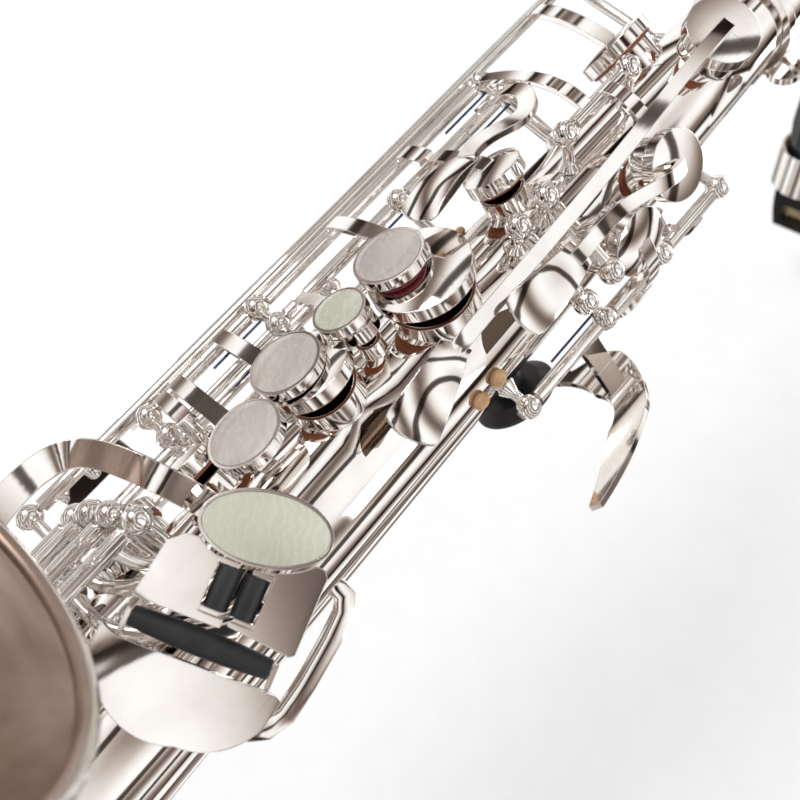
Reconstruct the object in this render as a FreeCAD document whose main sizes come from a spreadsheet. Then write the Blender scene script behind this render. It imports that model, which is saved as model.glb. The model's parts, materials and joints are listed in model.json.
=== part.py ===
"""Alto saxophone: conical body, bow, bell, neck and mouthpiece, with its keywork on hinge rods.

Frame: +Z runs up the body tube towards the neck, the bell stands towards -Y, +X is the palm-key side.
The origin is the centre of the hole in the strap ring, on the back of the body tube. Millimetres.
"Drop" is the distance below the top of the neck receiver; azimuth 0 faces the bell, 90 faces +X.
"""
import FreeCAD, Part
import Sketcher
import math
import os
import re
from FreeCAD import Placement, Rotation, Vector

doc = FreeCAD.newDocument("AltoSaxophone")
sheet = doc.addObject("Spreadsheet::Sheet", "Sizes")

SIZES = {
    # body tube, bow and bell
    "ring_drop": 225.0, "ring_reach": 28.5, "tube_length": 480.0, "tube_top_radius": 12.75,
    "tube_slope": 0.0338, "wall": 0.8, "bow_radius": 38.0, "bell_tilt": 10.0, "bell_length": 232.0,
    "bell_start_radius": 31.0, "bell_rim_radius": 60.0, "rim_bead": 1.7,
    # tone holes, pads, cups and pearls
    "chimney_wall": 0.9, "chimney_rise": 4.0, "pad_thickness": 2.6, "pad_gap": 0.08, "cup_wall": 0.9,
    "cup_height": 3.6, "cup_margin": 1.7, "pearl_radius": 8.1, "pearl_small": 5.9, "pearl_depth": 2.0,
    "holder_wall": 0.75, "holder_height": 2.6,
    # hinges
    "rod_radius": 1.05, "rod_clearance": 0.05, "hinge_radius": 1.9, "ball_radius": 3.2,
    "stem_radius": 1.5, "foot_radius": 3.6, "foot_height": 1.6, "end_gap": 0.15,
    "arm_width": 4.0, "arm_thickness": 1.5,
    # neck and mouthpiece
    "tenon_radius": 11.85, "neck_bend": 52.0, "neck_rise": 26.0, "neck_reach": 52.0, "neck_turn": 102.0,
    "neck_tip_radius": 6.6, "cork_radius": 7.9, "cork_length": 26.0, "mouthpiece_length": 84.0,
    "mouthpiece_radius": 12.6,
    # pinky table, in its own plane
    "table_azimuth": 30.0, "table_reach": 33.5, "table_side": 3.3, "table_drop": 232.0,
    "table_turn": 19.5, "plate_thickness": 1.8, "roller_radius": 2.5, "long_roller_radius": 2.7,
    "axle_radius": 0.8,
    # receiver and fittings
    "receiver_height": 21.0, "receiver_radius": 15.6, "ring_hole": 5.0, "ring_wire": 2.4,
}


def fill_sheet():
    """Write every driving size into the sheet as a plain number with its alias."""
    for row, (alias, number) in enumerate(SIZES.items(), start=1):
        sheet.set("A%d" % row, alias)
        sheet.set("B%d" % row, str(number))
        sheet.setAlias("B%d" % row, alias)
    doc.recompute()


fill_sheet()


def size(alias):
    """A driving size, read back from the sheet."""
    return float(sheet.get(alias))


def linked(text):
    """Expression text for an object's property, with each alias read from the sheet."""
    return re.sub(r"[a-z_]+", lambda word: "Sizes." + word.group(), str(text))


def value(text):
    """The number that an expression over the sheet's aliases stands for."""
    return float(sheet.evalExpression(str(text)))


def bind(item, **properties):
    for name, text in properties.items():
        item.setExpression(name, linked(text))


# ---------------------------------------------------------------- places

def tube_radius(drop):
    return size("tube_top_radius") + size("tube_slope") * drop


def spot(azimuth, reach, drop):
    """A point at an azimuth, at a reach from the tube's axis and a drop below the receiver's top."""
    turn = math.radians(azimuth)
    height = size("ring_drop") - drop
    return Vector(reach * math.sin(turn), -size("ring_reach") - reach * math.cos(turn), height)


def facing(azimuth, reach, drop, spin=0.0):
    """Local Z points out of the tube, local Y up and local X towards growing azimuth."""
    turn = Rotation(Vector(0, 0, 1), azimuth) * Rotation(Vector(1, 0, 0), 90)
    return Placement(spot(azimuth, reach, drop), turn * Rotation(Vector(0, 0, 1), spin))


def upright(azimuth, reach, drop):
    """Local Z stays vertical, local -Y points out of the tube."""
    return Placement(spot(azimuth, reach, drop), Rotation(Vector(0, 0, 1), azimuth))


# ---------------------------------------------------------------- builders

def origin_plane(body, role):
    for feature in body.Origin.OriginFeatures:
        if feature.Role == role:
            return feature
    raise ValueError(role)


def draw(body, name, role, outline):
    """A closed sketch. Each step is (x, y) for a line or (mx, my, x, y) for an arc through a point;
    coordinates are expressions over the sheet and hold the corners in place."""
    sketch = body.newObject("Sketcher::SketchObject", name)
    sketch.AttachmentSupport = [(origin_plane(body, role), "")]
    sketch.MapMode = "FlatFace"
    corners = [(value(step[-2]), value(step[-1])) for step in outline]
    count = len(outline)
    for index, step in enumerate(outline):
        start = Vector(*corners[index - 1], 0)
        stop = Vector(*corners[index], 0)
        if len(step) == 2:
            sketch.addGeometry(Part.LineSegment(start, stop), False)
        else:
            middle = Vector(value(step[0]), value(step[1]), 0)
            clockwise = (middle - start).cross(stop - middle).z < 0
            ends = (stop, start) if clockwise else (start, stop)
            sketch.addGeometry(Part.Arc(ends[0], middle, ends[1]), False)
    for index in range(count):
        edge = sketch.Geometry[index]
        end = ends_of(edge, corners[index])
        after = (index + 1) % count
        begin = 3 - ends_of(sketch.Geometry[after], corners[after])
        hold(sketch, index, end, outline[index])
        sketch.addConstraint(Sketcher.Constraint("Coincident", index, end, after, begin))
    return sketch


def ends_of(edge, corner):
    """Which end of a sketch edge lies on a corner: 1 for its start, 2 for its end."""
    near = edge.StartPoint.distanceToPoint(Vector(*corner, 0))
    return 1 if near < edge.EndPoint.distanceToPoint(Vector(*corner, 0)) else 2


def hold(sketch, index, end, step):
    """Tie a corner to the sheet, or to the axis it lies on."""
    for text, kind, axis in ((step[-2], "DistanceX", -2), (step[-1], "DistanceY", -1)):
        number = value(text)
        if abs(number) < 1e-9:
            sketch.addConstraint(Sketcher.Constraint("PointOnObject", index, end, axis))
            continue
        place = sketch.addConstraint(Sketcher.Constraint(kind, -1, 1, index, end, number))
        if re.search("[a-z]", str(text)):
            sketch.setExpression("Constraints[%d]" % place, linked(text))


def lathe(name, outline, place):
    """A turned piece: the outline in (radius, height) spun about its own Z axis."""
    body = doc.addObject("PartDesign::Body", name)
    sketch = draw(body, name + "_outline", "XZ_Plane", outline)
    turned = body.newObject("PartDesign::Revolution", name + "_turned")
    turned.Profile = sketch
    turned.ReferenceAxis = (sketch, ["V_Axis"])
    turned.Angle = 360
    body.Tip = turned
    body.Placement = place
    return body


def plate(name, outline, thickness, place):
    """A flat piece: the outline in its own XY plane, with its thickness along its own Z."""
    body = doc.addObject("PartDesign::Body", name)
    sketch = draw(body, name + "_outline", "XY_Plane", outline)
    pad = body.newObject("PartDesign::Pad", name + "_pad")
    pad.Profile = sketch
    pad.Length = value(thickness)
    bind(pad, Length=thickness)
    body.Tip = pad
    body.Placement = place
    return body


def cylinder(name, radius, height, place):
    item = doc.addObject("Part::Cylinder", name)
    bind(item, Radius=radius, Height=height)
    item.Placement = place
    return item


def cone(name, low, high, height, place):
    item = doc.addObject("Part::Cone", name)
    bind(item, Radius1=low, Radius2=high, Height=height)
    item.Placement = place
    return item


def ball(name, radius, place):
    item = doc.addObject("Part::Sphere", name)
    bind(item, Radius=radius)
    item.Placement = place
    return item


def block(name, length, width, height, place):
    item = doc.addObject("Part::Box", name)
    bind(item, Length=length, Width=width, Height=height)
    item.Placement = place
    return item


def fuse(name, pieces):
    item = doc.addObject("Part::MultiFuse", name)
    item.Shapes = pieces
    item.Refine = False
    return item


def cut(name, base, tool):
    item = doc.addObject("Part::Cut", name)
    item.Base = base
    item.Tool = tool
    item.Refine = False
    return item


def gather(name, pieces):
    """Separate solids that share one node."""
    item = doc.addObject("Part::Compound", name)
    item.Links = pieces
    return item


def formed(name, shape):
    """A shape that neither a sketch nor a primitive gives."""
    item = doc.addObject("Part::Feature", name)
    item.Shape = shape
    return item


def ring_at(radius, centre, way, side):
    """A circle square to a direction, with its seam towards a given side."""
    wire = Part.Wire(Part.makeCircle(radius))
    wire.Placement = Placement(centre, Rotation(side, way.cross(side), way, "ZXY"))
    return wire


def loft(rings):
    """A solid drawn through closed rings, with its faces looking outwards."""
    solid = Part.makeLoft(rings, True, False)
    if solid.Volume < 0:
        solid.reverse()
    return solid


def ribbon(name, points, thickness, width, place):
    """A bent strip: a smooth line through (x, y) points, thickened in its plane and widened along Z."""
    line = Part.BSplineCurve()
    line.interpolate([Vector(x, y, 0) for x, y in points])
    first, last = line.FirstParameter, line.LastParameter
    steps = 4 * len(points)
    sides = ([], [])
    for step in range(steps + 1):
        where = first + (last - first) * step / steps
        along = line.tangent(where)[0]
        across = Vector(-along.y, along.x, 0)
        for side, sign in zip(sides, (1, -1)):
            side.append(line.value(where) + across * (sign * thickness / 2))
    edges = []
    for side in sides:
        curve = Part.BSplineCurve()
        curve.interpolate(side)
        edges.append(curve.toShape())
    edges.append(Part.makeLine(sides[0][0], sides[1][0]))
    edges.append(Part.makeLine(sides[0][-1], sides[1][-1]))
    face = Part.Face(Part.Wire(Part.sortEdges(edges)[0]))
    face.translate(Vector(0, 0, -width / 2))
    strip = face.extrude(Vector(0, 0, width))
    strip.Placement = place.multiply(strip.Placement)
    return formed(name, strip)


def across(azimuth, drop):
    """Local X runs round the tube, local Y out of it, local Z down it; zero on the tube's axis."""
    turn = Rotation(Vector(0, 0, 1), azimuth) * Rotation(Vector(1, 0, 0), 180)
    return Placement(spot(azimuth, 0, drop), turn)


def along(azimuth, drop):
    """Local X runs up the tube, local Y out of it, local Z round it; zero on the tube's axis."""
    turn = Rotation(Vector(0, 0, 1), azimuth + 180) * Rotation(Vector(0, 1, 0), -90)
    return Placement(spot(azimuth, 0, drop), turn)


def swing(point, direction, degrees):
    """A turn about a line, as a placement."""
    return Placement(Vector(0, 0, 0), Rotation(direction, degrees), point)


# ---------------------------------------------------------------- hinge lines

STACK = -14.0                       # azimuth of the row of finger pearls
DOWN = Vector(0, 0, -1)


def stack_spot(side, height):
    """Azimuth and reach of a place given sideways and outwards from the row of pearls."""
    return STACK + math.degrees(math.atan2(side, height)), math.hypot(side, height)


INNER = stack_spot(-26.0, 24.0)     # rod of the small upper keys
OUTER = stack_spot(-34.0, 26.5)     # rod of the upper stack
SIDE = stack_spot(-40.5, 26.0)      # long rod of the high E key
OCTAVE = (112.0, 25.5)              # rod of the octave keys and the upper palm key
LINK = (0.0, 27.0)                  # short rod of the front F link
LOW = ((-8.0, 37.0), (-19.5, 37.0), (-31.0, 37.0), (-42.5, 37.0))   # rods of the table keys
SIDE_B = (-86.0, 39.0)
SIDE_C = (-96.0, 36.0)
RIGHT = (-112.0, 38.0)              # rod of the lower stack
FOOT_LINE = (-112.0, 44.0)          # rod of the two foot keys


def hinge_tube(name, line, top, bottom):
    """A key's tube on an upright rod and the bore to cut from the key, with a gap at both ends."""
    length = bottom - top - 2 * size("end_gap")
    place = upright(line[0], line[1], bottom - size("end_gap"))
    outer = cylinder(name, "hinge_radius", length, place)
    bore = cylinder(name + "_bore", "rod_radius + rod_clearance", length, place)
    return outer, bore


def cross_place(azimuth, reach, drop, start):
    """Local Z runs round the tube at a level, starting a distance before the azimuth."""
    turn = Rotation(Vector(0, 0, 1), azimuth) * Rotation(Vector(0, 1, 0), 90)
    round_tube = Rotation(Vector(0, 0, 1), azimuth).multVec(Vector(1, 0, 0))
    return Placement(spot(azimuth, reach, drop) + round_tube * start, turn)


def cross_tube(name, azimuth, reach, drop, half):
    """The same on a rod that runs round the tube."""
    place = cross_place(azimuth, reach, drop, -half)
    outer = cylinder(name, "hinge_radius", 2 * half, place)
    bore = cylinder(name + "_bore", "rod_radius + rod_clearance", 2 * half, place)
    return outer, bore


# ---------------------------------------------------------------- tone holes, cups, pads, pearls

HOLES = {
    # name: (azimuth, drop, bore radius)
    "palm_f": (24.0, 47.0, 7.3), "high_e": (-51.0, 57.0, 7.8), "octave": (150.0, 80.0, 1.6),
    "palm_eb": (60.0, 84.0, 6.4), "palm_d": (76.0, 104.5, 6.3), "c": (-22.0, 117.0, 5.2),
    "side_c": (-132.0, 146.0, 5.6), "b": (-3.0, 151.5, 10.2), "bis": (-12.0, 169.7, 2.3),
    "side_bb": (-132.0, 172.0, 6.4), "a": (-11.0, 185.5, 8.0), "g": (-37.0, 217.5, 6.9),
    "gs": (-69.0, 240.0, 7.6), "f": (-76.0, 268.0, 10.4), "e": (-76.0, 299.0, 11.2),
    "d": (-76.0, 333.0, 12.0), "low_eb": (-74.0, 387.0, 12.4), "low_cs": (-52.0, 454.6, 9.8),
    "low_c": (-74.0, 426.0, 13.4),
}


def seat_reach(hole):
    azimuth, drop, bore = HOLES[hole]
    return tube_radius(drop) + size("chimney_rise")


def cup_radius(bore):
    return bore + size("chimney_wall") + size("cup_margin")


def cup(name, bore, place, dome=1.0):
    """A pad cup above its seat: local zero is the rim of the tone hole."""
    outer = "%.2f + chimney_wall + cup_margin" % bore
    inner = outer + " - cup_wall"
    roof = "pad_gap + pad_thickness + 0.05"
    top = "1.0 + cup_height"
    crown = value(top) + dome
    lid = (value(outer) * 0.52, value(top) + dome * 0.78, "0", crown) if dome else ("0", top)
    outline = [("0", roof), (inner, roof), (inner, "1.0"), (outer, "1.0"), (outer, top), lid]
    return lathe(name, outline, place)


def pad(name, bore, place):
    radius = "%.2f + chimney_wall + cup_margin - cup_wall - 0.05" % bore
    outline = [("0", "pad_gap"), (radius, "pad_gap"), (radius, "pad_gap + pad_thickness"),
               ("0", "pad_gap + pad_thickness")]
    return lathe(name, outline, place)


def pearl_holder(name, radius, place):
    """A shallow metal dish; local zero is the underside of the dish."""
    outer = radius + " + holder_wall"
    outline = [("0", "0"), (outer, "0"), (outer, "holder_height"), (radius, "holder_height"),
               (radius, "holder_wall"), ("0", "holder_wall")]
    return lathe(name, outline, place)


def pearl(name, radius, place):
    edge = radius + " - 0.03"
    base = "holder_wall + 0.02"
    top = "holder_wall + pearl_depth"
    outline = [("0", base), (edge, base), (edge, top), (edge + " - 1.2", top + " + 0.25"),
               (edge + " - 3.2", top + " + 0.42"), ("1.2", top + " + 0.5"), ("0", top + " + 0.5")]
    return lathe(name, outline, place)


# ---------------------------------------------------------------- body tube, bow, bell

def body_tube():
    """Conical tube with a raised chimney at each tone hole."""
    bottom = size("tube_length")
    low = "tube_top_radius + tube_slope * tube_length"
    solid = [cone("tube_outside", low, "tube_top_radius", "tube_length", upright(0, 0, bottom))]
    hollow = [cone("tube_inside", low + " - wall", "tube_top_radius - wall", "tube_length",
                   upright(0, 0, bottom))]
    for hole, (azimuth, drop, bore) in HOLES.items():
        height = seat_reach(hole) - 6.0
        place = facing(azimuth, 6.0, drop)
        solid.append(cylinder("chimney_" + hole, "%.2f + chimney_wall" % bore, height, place))
        hollow.append(cylinder("bore_" + hole, "%.2f" % bore, height + 1.0, place))
    return cut("body_tube", fuse("tube_solid", solid), fuse("tube_hollow", hollow))


def bell_axis(distance):
    """A point on the bell's axis, measured from where the bow ends, in the middle plane."""
    tilt = math.radians(size("bell_tilt"))
    bow = size("bow_radius")
    start = spot(0, bow * (1 + math.cos(tilt)), size("tube_length") + bow * math.sin(tilt))
    return start + Vector(0, -math.sin(tilt), math.cos(tilt)) * distance


def bell_place(distance):
    return Placement(bell_axis(distance), Rotation(Vector(1, 0, 0), size("bell_tilt")))


def bend(radius_start, radius_end):
    """The bow's half turn as a solid that widens from one radius to the other."""
    bow = size("bow_radius")
    sweep = 180.0 - size("bell_tilt")
    centre = spot(0, bow, size("tube_length"))
    rings = []
    count = 9
    for step in range(count):
        turn = math.radians(sweep * step / (count - 1))
        where = centre + Vector(0, bow * math.cos(turn), -bow * math.sin(turn))
        heading = Vector(0, -math.sin(turn), -math.cos(turn))
        radius = radius_start + (radius_end - radius_start) * step / (count - 1)
        rings.append(ring_at(radius, where, heading, Vector(1, 0, 0)))
    return loft(rings)


def bow():
    start = tube_radius(size("tube_length"))
    end = size("bell_start_radius")
    wall = size("wall")
    return formed("bow", bend(start, end).cut(bend(start - wall, end - wall)))


def bell_radius(distance):
    """The flare: slow at first, then opening quickly towards the rim."""
    share = distance / size("bell_length")
    start = size("bell_start_radius")
    spread = size("bell_rim_radius") - start
    return start + spread * (0.22 * share + 0.14 * share ** 3 + 0.64 * share ** 9)


BELL_HOLES = {
    # name: (distance along the bell's axis, azimuth round the bell, bore radius)
    "low_b": (78.0, 120.0, 14.2), "low_bb": (122.0, 120.0, 14.8),
}


def bell_hole_place(hole):
    """Seat of a tone hole on the side of the bell: local Z points away from the bell."""
    distance, azimuth, bore = BELL_HOLES[hole]
    turn = Rotation(Vector(0, 0, 1), -azimuth) * Rotation(Vector(1, 0, 0), 90)
    reach = bell_radius(distance) + size("chimney_rise") + 1.0
    outward = turn.multVec(Vector(0, 0, 1))
    return Placement(bell_axis(distance) + outward * reach, turn)


def bell():
    """Flared bell with a rolled rim and the two tone holes of the lowest notes."""
    length = size("bell_length")
    wall = size("wall")
    outside = [Vector(bell_radius(length * step / 14), 0, length * step / 14) for step in range(15)]
    inside = [Vector(point.x - wall, 0, point.z) for point in outside]
    edges = []
    for side in (outside, inside):
        curve = Part.BSplineCurve()
        curve.interpolate(side)
        edges.append(curve.toShape())
    edges.append(Part.makeLine(outside[0], inside[0]))
    edges.append(Part.makeLine(outside[-1], inside[-1]))
    profile = Part.Face(Part.Wire(Part.sortEdges(edges)[0]))
    shell = profile.revolve(Vector(0, 0, 0), Vector(0, 0, 1), 360)
    core_line = Part.BSplineCurve()
    core_line.interpolate(inside)
    core_edges = [core_line.toShape(), Part.makeLine(inside[-1], Vector(0, 0, length))]
    core_edges.append(Part.makeLine(Vector(0, 0, length), Vector(0, 0, 0)))
    core_edges.append(Part.makeLine(Vector(0, 0, 0), inside[0]))
    core = Part.Face(Part.Wire(Part.sortEdges(core_edges)[0])).revolve(
        Vector(0, 0, 0), Vector(0, 0, 1), 360)
    bead = Part.makeTorus(bell_radius(length), size("rim_bead"), Vector(0, 0, length))
    place = bell_place(0)
    for piece in (shell, core, bead):
        piece.Placement = place
    walls = shell.fuse(bead)
    for hole, (distance, azimuth, bore) in BELL_HOLES.items():
        seat = bell_hole_place(hole)
        deep = Placement(seat.Base - seat.Rotation.multVec(Vector(0, 0, 1)) * 14.0, seat.Rotation)
        chimney = Part.makeCylinder(bore + size("chimney_wall"), 14.0)
        opening = Part.makeCylinder(bore, 40.0, Vector(0, 0, -20))
        chimney.Placement = deep
        opening.Placement = deep
        walls = walls.fuse(chimney.cut(core)).cut(opening)
    return formed("bell", walls)


def ferrule(name, radius, place):
    """A raised band round the straight side of a joint of two tubes."""
    inner = radius + 0.06
    outline = [(inner, "0.3"), (inner + 1.4, "0.3"), (inner + 1.4, "2.2"), (inner + 0.8, "3.0"),
               (inner + 0.8, "7.0"), (inner + 1.4, "7.8"), (inner + 1.4, "9.7"), (inner, "9.7")]
    return lathe(name, outline, place)


def bow_ferrules():
    low = spot(0, 0, size("tube_length"))
    first = ferrule("bow_ferrule_body", tube_radius(size("tube_length")), Placement(low, Rotation()))
    second = ferrule("bow_ferrule_bell", bell_radius(10.0), bell_place(0))
    return gather("bow_ferrules", [first, second])


# ---------------------------------------------------------------- neck and mouthpiece

def neck_receiver():
    """Collar at the top of the body, split at the back and drawn together by the clamp screw."""
    outline = [("12.0", "0 - receiver_height"), ("receiver_radius", "0 - receiver_height"),
               ("receiver_radius", "3 - receiver_height"), ("receiver_radius - 0.7", "4 - receiver_height"),
               ("receiver_radius - 0.7", "-3"), ("receiver_radius + 0.4", "-2"),
               ("receiver_radius + 0.4", "0"), ("12.0", "0")]
    collar = lathe("receiver_collar", outline, Placement(spot(0, 0, 0), Rotation()))
    ears = block("receiver_ears", "9.0", "9.4", "11.0",
                 Placement(spot(180, 14.4, 16) + Vector(-4.5, -0.2, 0), Rotation()))
    slit = block("receiver_slit", "1.4", "12.0", "30.0",
                 Placement(spot(180, 13.0, 24) + Vector(-0.7, 0, 0), Rotation()))
    screw_hole = cylinder("receiver_screw_hole", "1.62", "20.0",
                          Placement(spot(180, 19.6, 10.5) + Vector(-10, 0, 0),
                                    Rotation(Vector(0, 1, 0), 90)))
    whole = fuse("receiver_whole", [collar, ears])
    seat = tube_shadow("receiver_seat", 0.0, 60.0)
    return cut("neck_receiver", whole, fuse("receiver_cuts", [slit, screw_hole, seat]))


def clamp_screws():
    """The neck clamp's thumbscrew: a threaded shank's core and a flat paddle head."""
    turn = Rotation(Vector(0, 1, 0), 90)
    shank = cylinder("clamp_shank", "1.6", "14.5", Placement(spot(180, 19.6, 10.5) + Vector(-6, 0, 0), turn))
    collar_place = Placement(spot(180, 19.6, 10.5) + Vector(4.7, 0, 0), turn)
    collar = cylinder("clamp_collar", "2.9", "2.0", collar_place)
    head = cylinder("clamp_head", "5.2", "2.2", Placement(
        spot(180, 19.6, 10.5) + Vector(11.4, -1.1, 0), Rotation(Vector(1, 0, 0), -90)))
    return fuse("clamp_screws", [shank, collar, head])


def neck_path():
    """The neck's centre line: up from the tenon, over in one bend, then out towards the player."""
    turn = math.radians(size("neck_turn"))
    bend_radius = size("neck_bend")
    base = spot(0, 0, 0)
    rise = base + Vector(0, 0, size("neck_rise"))
    centre = rise + Vector(0, bend_radius, 0)
    stop = centre + Vector(0, -math.cos(turn), math.sin(turn)) * bend_radius
    heading = Vector(0, math.sin(turn), math.cos(turn))
    tip = stop + heading * size("neck_reach")
    return base, rise, centre, turn, stop, heading, tip


def neck_solid(shrink, extra=0.0):
    """Tapered neck round its centre line: tenon, rise, bend and reach; extra lengthens both ends."""
    base, rise, centre, turn, stop, heading, tip = neck_path()
    bend_radius = size("neck_bend")
    wide = size("tenon_radius")
    narrow = size("neck_tip_radius")
    total = size("neck_rise") + bend_radius * turn + size("neck_reach")

    def radius_at(travelled):
        return wide + (narrow - wide) * travelled / total - shrink

    upwards = Vector(0, 0, 1)
    below = 17.0 + extra
    solid = Part.makeCylinder(wide - shrink, below, base - upwards * below, upwards)
    rise = size("neck_rise")
    solid = solid.fuse(Part.makeCone(wide - shrink, radius_at(rise), rise, base, upwards))
    rings = []
    steps = 8
    for step in range(steps + 1):
        part = turn * step / steps
        where = centre + Vector(0, -math.cos(part), math.sin(part)) * bend_radius
        way = Vector(0, math.sin(part), math.cos(part))
        rings.append(ring_at(radius_at(size("neck_rise") + bend_radius * part), where, way, Vector(1, 0, 0)))
    solid = solid.fuse(loft(rings))
    last = radius_at(total)
    reach = size("neck_reach")
    solid = solid.fuse(Part.makeCone(radius_at(total - reach), last, reach, stop, heading))
    if extra:
        solid = solid.fuse(Part.makeCylinder(last, extra, tip, heading))
    return solid


def neck_tube():
    """Neck with the ring that sits on the receiver and the pip of its octave vent."""
    base = spot(0, 0, 0)
    collar = Part.makeCylinder(size("tenon_radius") + 2.6, 4.2, base + Vector(0, 0, 0.1))
    vent_place = neck_vent()
    pip = Part.makeCylinder(2.6, 11.0, vent_place.Base - neck_out() * 11.0, neck_out())
    hole = Part.makeCylinder(1.3, 14.0, vent_place.Base - neck_out() * 12.0, neck_out())
    hollow = neck_solid(size("wall"), 1.0)
    shell = neck_solid(0.0).cut(hollow).fuse(collar.cut(hollow)).fuse(pip.cut(hollow))
    return formed("neck_tube", shell.cut(hole))


VENT_SHARE = 0.72                   # how far round the neck's bend its octave vent sits


def neck_out():
    """Outward direction at the neck's octave vent."""
    base, rise, centre, turn, stop, heading, tip = neck_path()
    part = turn * VENT_SHARE
    return Vector(0, -math.cos(part), math.sin(part))


def neck_vent():
    base, rise, centre, turn, stop, heading, tip = neck_path()
    return Placement(centre + neck_out() * (size("neck_bend") + 13.5), Rotation(Vector(0, 0, 1), neck_out()))


def mouth_place(distance):
    """On the neck's tip line: local Z points on towards the mouthpiece's tip."""
    base, rise, centre, turn, stop, heading, tip = neck_path()
    return Placement(tip - heading * distance, Rotation(Vector(0, 0, 1), heading))


def neck_cork():
    outline = [(7.75, "0"), ("cork_radius + 0.4", "0"), ("cork_radius", "cork_length"),
               ("neck_tip_radius + 0.1", "cork_length")]
    return lathe("neck_cork", outline, mouth_place(size("cork_length")))


def mouthpiece():
    """Turned shank and body with the sloping beak and the flat table for the reed."""
    length = size("mouthpiece_length")
    outline = [("cork_radius + 0.5", "0"), ("mouthpiece_radius - 0.6", "0"), ("mouthpiece_radius", "1.2"),
               ("mouthpiece_radius", "22"), ("mouthpiece_radius - 1.0", "30"),
               ("mouthpiece_radius - 2.4", "mouthpiece_length"), ("0", "mouthpiece_length"),
               ("0", "26"), ("cork_radius + 0.1", "26")]
    place = mouth_place(size("cork_length") - 2.0)
    body = lathe("mouthpiece_turned", outline, place)
    slope = Rotation(Vector(1, 0, 0), 16)
    beak = block("mouthpiece_beak", "40", "30", "60", place.multiply(Placement(Vector(-20, 7.0, 44.0), slope)))
    table = block("mouthpiece_table", "40", "20", "60", place.multiply(
        Placement(Vector(-20, -29.5, 30.0), Rotation())))
    window = block("mouthpiece_window", "11", "12", "34", place.multiply(
        Placement(Vector(-5.5, -12.0, length - 38.0), Rotation())))
    return cut("mouthpiece", body, fuse("mouthpiece_cuts", [beak, table, window]))


def reed():
    place = mouth_place(size("cork_length") - 2.0)
    outline = [("-6.5", "0"), ("6.5", "0"), ("7.6", "44"), ("7.6", "51"), ("-7.6", "51"), ("-7.6", "44")]
    blank = plate("reed_blank", outline, "2.6", place.multiply(
        Placement(Vector(0, -9.53, 32.0), Rotation(Vector(1, 0, 0), 90))))
    scrape = block("reed_scrape", "30", "20", "60", place.multiply(
        Placement(Vector(-15, -12.2, 58.0), Rotation(Vector(1, 0, 0), 5.2)).multiply(
            Placement(Vector(0, -20, 0), Rotation()))))
    return cut("reed", blank, scrape)


def ligature():
    """Band round mouthpiece and reed, with its two tightening screws."""
    place = mouth_place(size("cork_length") - 2.0)
    outline = [("13.2", "33"), ("14.1", "33"), ("14.1", "52"), ("13.2", "52")]
    band = lathe("ligature_band", outline, place)
    pieces = [band]
    for step, height in enumerate((37.0, 48.0)):
        pieces.append(cylinder("ligature_screw_%d" % step, "1.5", "17", place.multiply(
            Placement(Vector(-6, -15.0, height), Rotation(Vector(0, 1, 0), 90)))))
        pieces.append(cylinder("ligature_head_%d" % step, "3.4", "2.4", place.multiply(
            Placement(Vector(11, -15.0, height), Rotation(Vector(0, 1, 0), 90)))))
    held = fuse("ligature_gap", [doc.getObject("mouthpiece"), doc.getObject("reed")])
    return cut("ligature", fuse("ligature_whole", pieces), held)


# ---------------------------------------------------------------- fittings on the body

def strap_ring():
    """Ring for the neck strap, on a foot plate soldered to the back of the body."""
    radius = "ring_hole + ring_wire"
    outline = [("ring_hole", "-1.2"), (radius, "-1.2"), (radius, "1.2"), ("ring_hole", "1.2")]
    ring = lathe("strap_ring_eye", outline, Placement(Vector(0, 0, 0), Rotation(Vector(0, 1, 0), 90)))
    plate_place = facing(180, tube_radius(225) - 2.0, 225)
    foot = block("strap_ring_foot", "8.0", "22.0", "3.2", plate_place.multiply(
        Placement(Vector(-4, -11, 0), Rotation())))
    web = block("strap_ring_web", "2.4", "9.0", "3.4", plate_place.multiply(
        Placement(Vector(-1.2, -4.5, 2.0), Rotation())))
    tube = cone("strap_ring_seat", "tube_top_radius + tube_slope * tube_length + 0.02",
                "tube_top_radius + 0.02", "tube_length", upright(0, 0, size("tube_length")))
    bore = cylinder("strap_ring_bore", "ring_hole", "10", Placement(
        Vector(-5, 0, 0), Rotation(Vector(0, 1, 0), 90)))
    whole = fuse("strap_ring_whole", [ring, foot, web])
    return cut("strap_ring", whole, fuse("strap_ring_cuts", [tube, bore]))


THUMB = (150.0, 26.0, 146.0)        # azimuth, reach and drop of the thumb rest's face


def thumb_rest():
    """Black dished disc on a metal stem."""
    azimuth, reach, drop = THUMB
    outline = [("0", "-3.4"), ("9.0", "-3.4"), ("12.2", "-1.0"), ("12.2", "0"), ("10.2", "0.7"),
               ("6.4", "1.25"), ("2.0", "1.5"), ("0", "1.5")]
    disc = lathe("thumb_rest_disc", outline, facing(azimuth, reach, drop))
    start = tube_radius(drop) + 0.15
    stem = cylinder("thumb_rest_stem", "5.0", reach - 3.45 - start, facing(azimuth, start, drop))
    return gather("thumb_rest", [disc, stem])


def thumb_hook():
    """Hook for the right thumb, low on the back."""
    drop = 330.0
    reach = tube_radius(drop) + 0.3
    foot = block("thumb_hook_foot", "14.0", "24.0", "1.8", facing(180, reach, drop).multiply(
        Placement(Vector(-7, -12, 0), Rotation())))
    hook = ribbon("thumb_hook_arm", [(0, reach + 0.9), (1.5, reach + 6), (0.5, reach + 14), (-5, reach + 21),
                                     (-14, reach + 24)], 2.4, 12.0, along(180, drop))
    seat = tube_shadow("thumb_hook_seat", drop - 20, drop + 20)
    return cut("thumb_hook", fuse("thumb_hook_whole", [foot, hook]), seat)



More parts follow.
